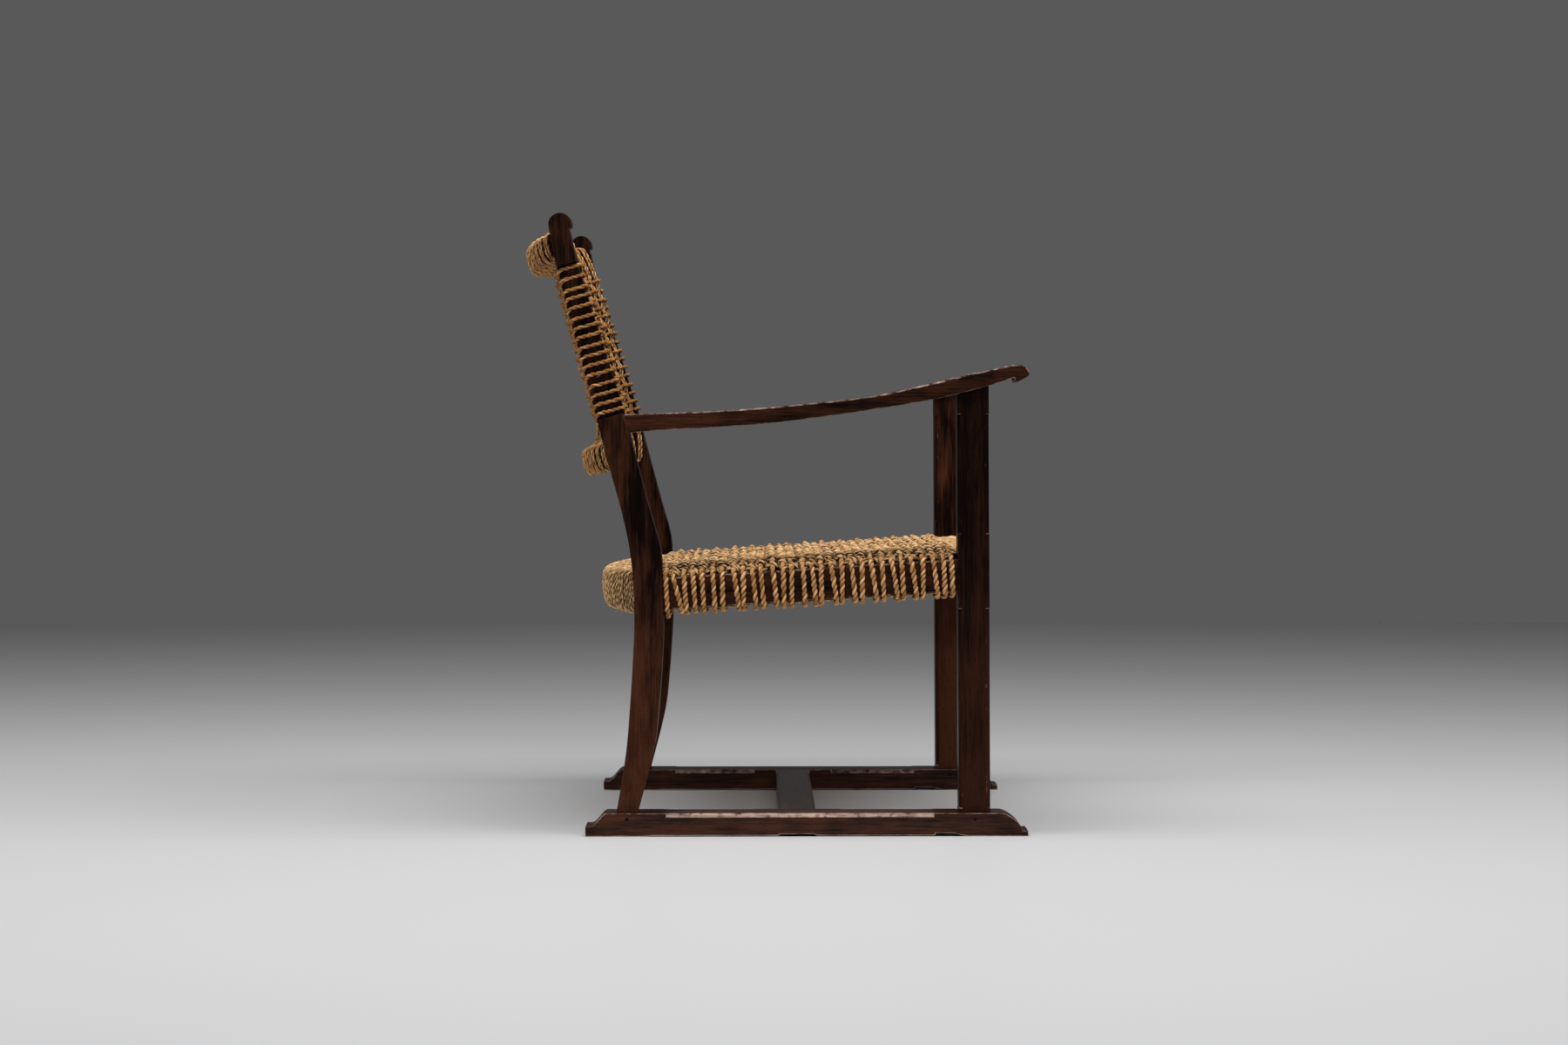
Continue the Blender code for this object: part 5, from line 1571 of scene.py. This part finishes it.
class CHAIR_OT_back_warp(bpy.types.Operator):
    """Wind the warp of the back"""

    bl_idname = "chair.back_warp"
    bl_label = "Back Warp"

    def execute(self, context):
        rope, colours = context.scene.chair_rope, context.scene.chair_colours
        straw = straw_finish("back_warp_straw", colours.straw_aged, browning=0.11, dirt_and_shade=0.60, hollow=(-0.40, 0.70))
        wind("back_warp", back_warp_runs(parts=2), rope.back_width, rope.back_lay, straw, back_outward)
        return {"FINISHED"}


class CHAIR_OT_back_weft(bpy.types.Operator):
    """Weave the weft of the back"""

    bl_idname = "chair.back_weft"
    bl_label = "Back Weft"

    def execute(self, context):
        rope, colours = context.scene.chair_rope, context.scene.chair_colours
        straw = straw_finish("back_weft_straw", colours.straw_aged, browning=0.27, dirt_and_shade=0.55, hollow=(-0.60, 0.60))
        wind("back_weft", [back_weft_run()], rope.back_width, rope.back_lay, straw, back_outward)
        return {"FINISHED"}


class CHAIR_OT_loose_fibres(bpy.types.Operator):
    """Add the straw ends that stand off the ropes"""

    bl_idname = "chair.loose_fibres"
    bl_label = "Loose Fibres"

    def execute(self, context):
        mesh = loose_fibre_mesh("loose_fibres")
        add_piece("loose_fibres", mesh, loose_straw_finish(), "back_weft")
        return {"FINISHED"}


# Stage

CAMERA_PLACE = (-4.629, -0.2292, 0.575)
CAMERA_PITCH, CAMERA_YAW = math.radians(1.857), math.radians(0.603)
SENSOR_WIDTH = 36
FLOOR_SHADE, FLOOR_ROUGHNESS = 0.97, 0.42

# Lights as place, the point they face and size
LIGHTS = {
    "key": ((-0.75, 0.0, 3.0), (-0.75, 0.0, 0.0), (1.4, 6.0)),
    "fill": ((-3.9, -0.3, 2.7), (0.0, 0.0, 0.4), (1.6, 2.4)),
}


def add_floor(reach, grey):
    """Square floor with a faint cloud in its grey."""
    bm = bmesh.new()
    bmesh.ops.create_grid(bm, x_segments=1, y_segments=1, size=reach)
    mesh = bpy.data.meshes.new("floor")
    bm.to_mesh(mesh)
    bm.free()
    finish = Finish(bpy.data.materials.new("floor_paint"))
    cloud = finish.noise(finish.place(), *FLOOR_CLOUD)
    colour = finish.mix(cloud, shade(grey, FLOOR_SHADE), shade(grey))
    mesh.materials.append(finish.surface({"Base Color": colour, "Roughness": FLOOR_ROUGHNESS}))
    place_object("floor", mesh)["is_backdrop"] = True


def add_light(name, place, facing, size, power):
    """Soft rectangular light."""
    light = bpy.data.lights.new(name, "AREA")
    light.shape = "RECTANGLE"
    light.size, light.size_y = size
    light.energy = power
    lamp = place_object(name, light)
    lamp.location = place
    lamp.rotation_euler = (Vector(facing) - lamp.location).to_track_quat("-Z", "Y").to_euler()


def light_room(sky, wall):
    """Room that is dim as a light, and grey where it is seen or mirrored."""
    world = bpy.data.worlds.new("room")
    bpy.context.scene.world = world
    room = Finish(world)
    camera_ray = room.node("ShaderNodeLightPath", output="Is Camera Ray")
    seen = camera_ray + camera_ray.output("Is Glossy Ray")
    colour = room.mix(seen, (sky, sky, sky, 1), shade(wall))
    room.put(room.tree.nodes["Background"].inputs["Color"], colour)


def add_camera(focal_length):
    """Camera at the place that the photograph was taken from."""
    lens = bpy.data.cameras.new("camera")
    lens.lens = focal_length
    lens.sensor_width = SENSOR_WIDTH
    camera = place_object("camera", lens)
    x, behind, height = CAMERA_PLACE
    camera.location = (x, REAR_Y + behind, height)
    level = math.cos(CAMERA_PITCH)
    aim = Vector((level * math.cos(CAMERA_YAW), -level * math.sin(CAMERA_YAW), -math.sin(CAMERA_PITCH)))
    camera.rotation_euler = aim.to_track_quat("-Z", "Y").to_euler()
    bpy.context.scene.camera = camera


class CHAIR_OT_stage(bpy.types.Operator):
    """Make the floor, the light and the camera"""

    bl_idname = "chair.stage"
    bl_label = "Stage"

    def execute(self, context):
        settings = context.scene.chair_stage
        context.scene.view_settings.view_transform = "Standard"
        add_floor(settings.floor_reach, settings.floor_colour)
        for name, (place, facing, size) in LIGHTS.items():
            add_light(f"{name}_light", place, facing, size, getattr(settings, f"{name}_power"))
        light_room(settings.sky_light, settings.wall_colour)
        add_camera(settings.lens)
        return {"FINISHED"}


OPERATORS = (
    CHAIR_OT_seat_warp, CHAIR_OT_seat_weft, CHAIR_OT_back_warp, CHAIR_OT_back_weft, CHAIR_OT_loose_fibres,
    CHAIR_OT_runners, CHAIR_OT_stretcher, CHAIR_OT_front_legs, CHAIR_OT_rear_posts, CHAIR_OT_arms,
    CHAIR_OT_side_rails, CHAIR_OT_cross_rails, CHAIR_OT_pegs, CHAIR_OT_stage,
)
SETTINGS = {
    "chair_timber": TimberSizes, "chair_rope": RopeSizes, "chair_colours": ChairColours,
    "chair_stage": StageSettings,
}


class CHAIR_PT_panel(bpy.types.Panel):
    """Sidebar list of the chair's pieces and settings"""

    bl_idname = "CHAIR_PT_panel"
    bl_label = "Easy Chair"
    bl_space_type = "VIEW_3D"
    bl_region_type = "UI"
    bl_category = "Easy Chair"

    def draw(self, context):
        for operator in OPERATORS:
            self.layout.operator(operator.bl_idname)
        for name, group in SETTINGS.items():
            box = self.layout.box()
            for field in group.__annotations__:
                box.prop(getattr(context.scene, name), field)


def register():
    """Register the classes and hang the settings on the scene."""
    for group in SETTINGS.values():
        bpy.utils.register_class(group)
    for name, group in SETTINGS.items():
        setattr(bpy.types.Scene, name, bpy.props.PointerProperty(type=group))
    for kind in OPERATORS + (CHAIR_PT_panel,):
        bpy.utils.register_class(kind)


def unregister():
    """Take the classes and the settings away again."""
    for kind in (CHAIR_PT_panel,) + OPERATORS[::-1]:
        bpy.utils.unregister_class(kind)
    for name in SETTINGS:
        delattr(bpy.types.Scene, name)
    for group in SETTINGS.values():
        bpy.utils.unregister_class(group)


def main():
    """Make every piece in order."""
    register()
    for operator in OPERATORS:
        group, name = operator.bl_idname.split(".")
        getattr(getattr(bpy.ops, group), name)()
    boxes = {"cad": CAD_BOX, "visual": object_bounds()}
    {name: [list(corner) for corner in box] for name, box in boxes.items()}


if __name__ == "__main__":
    main()
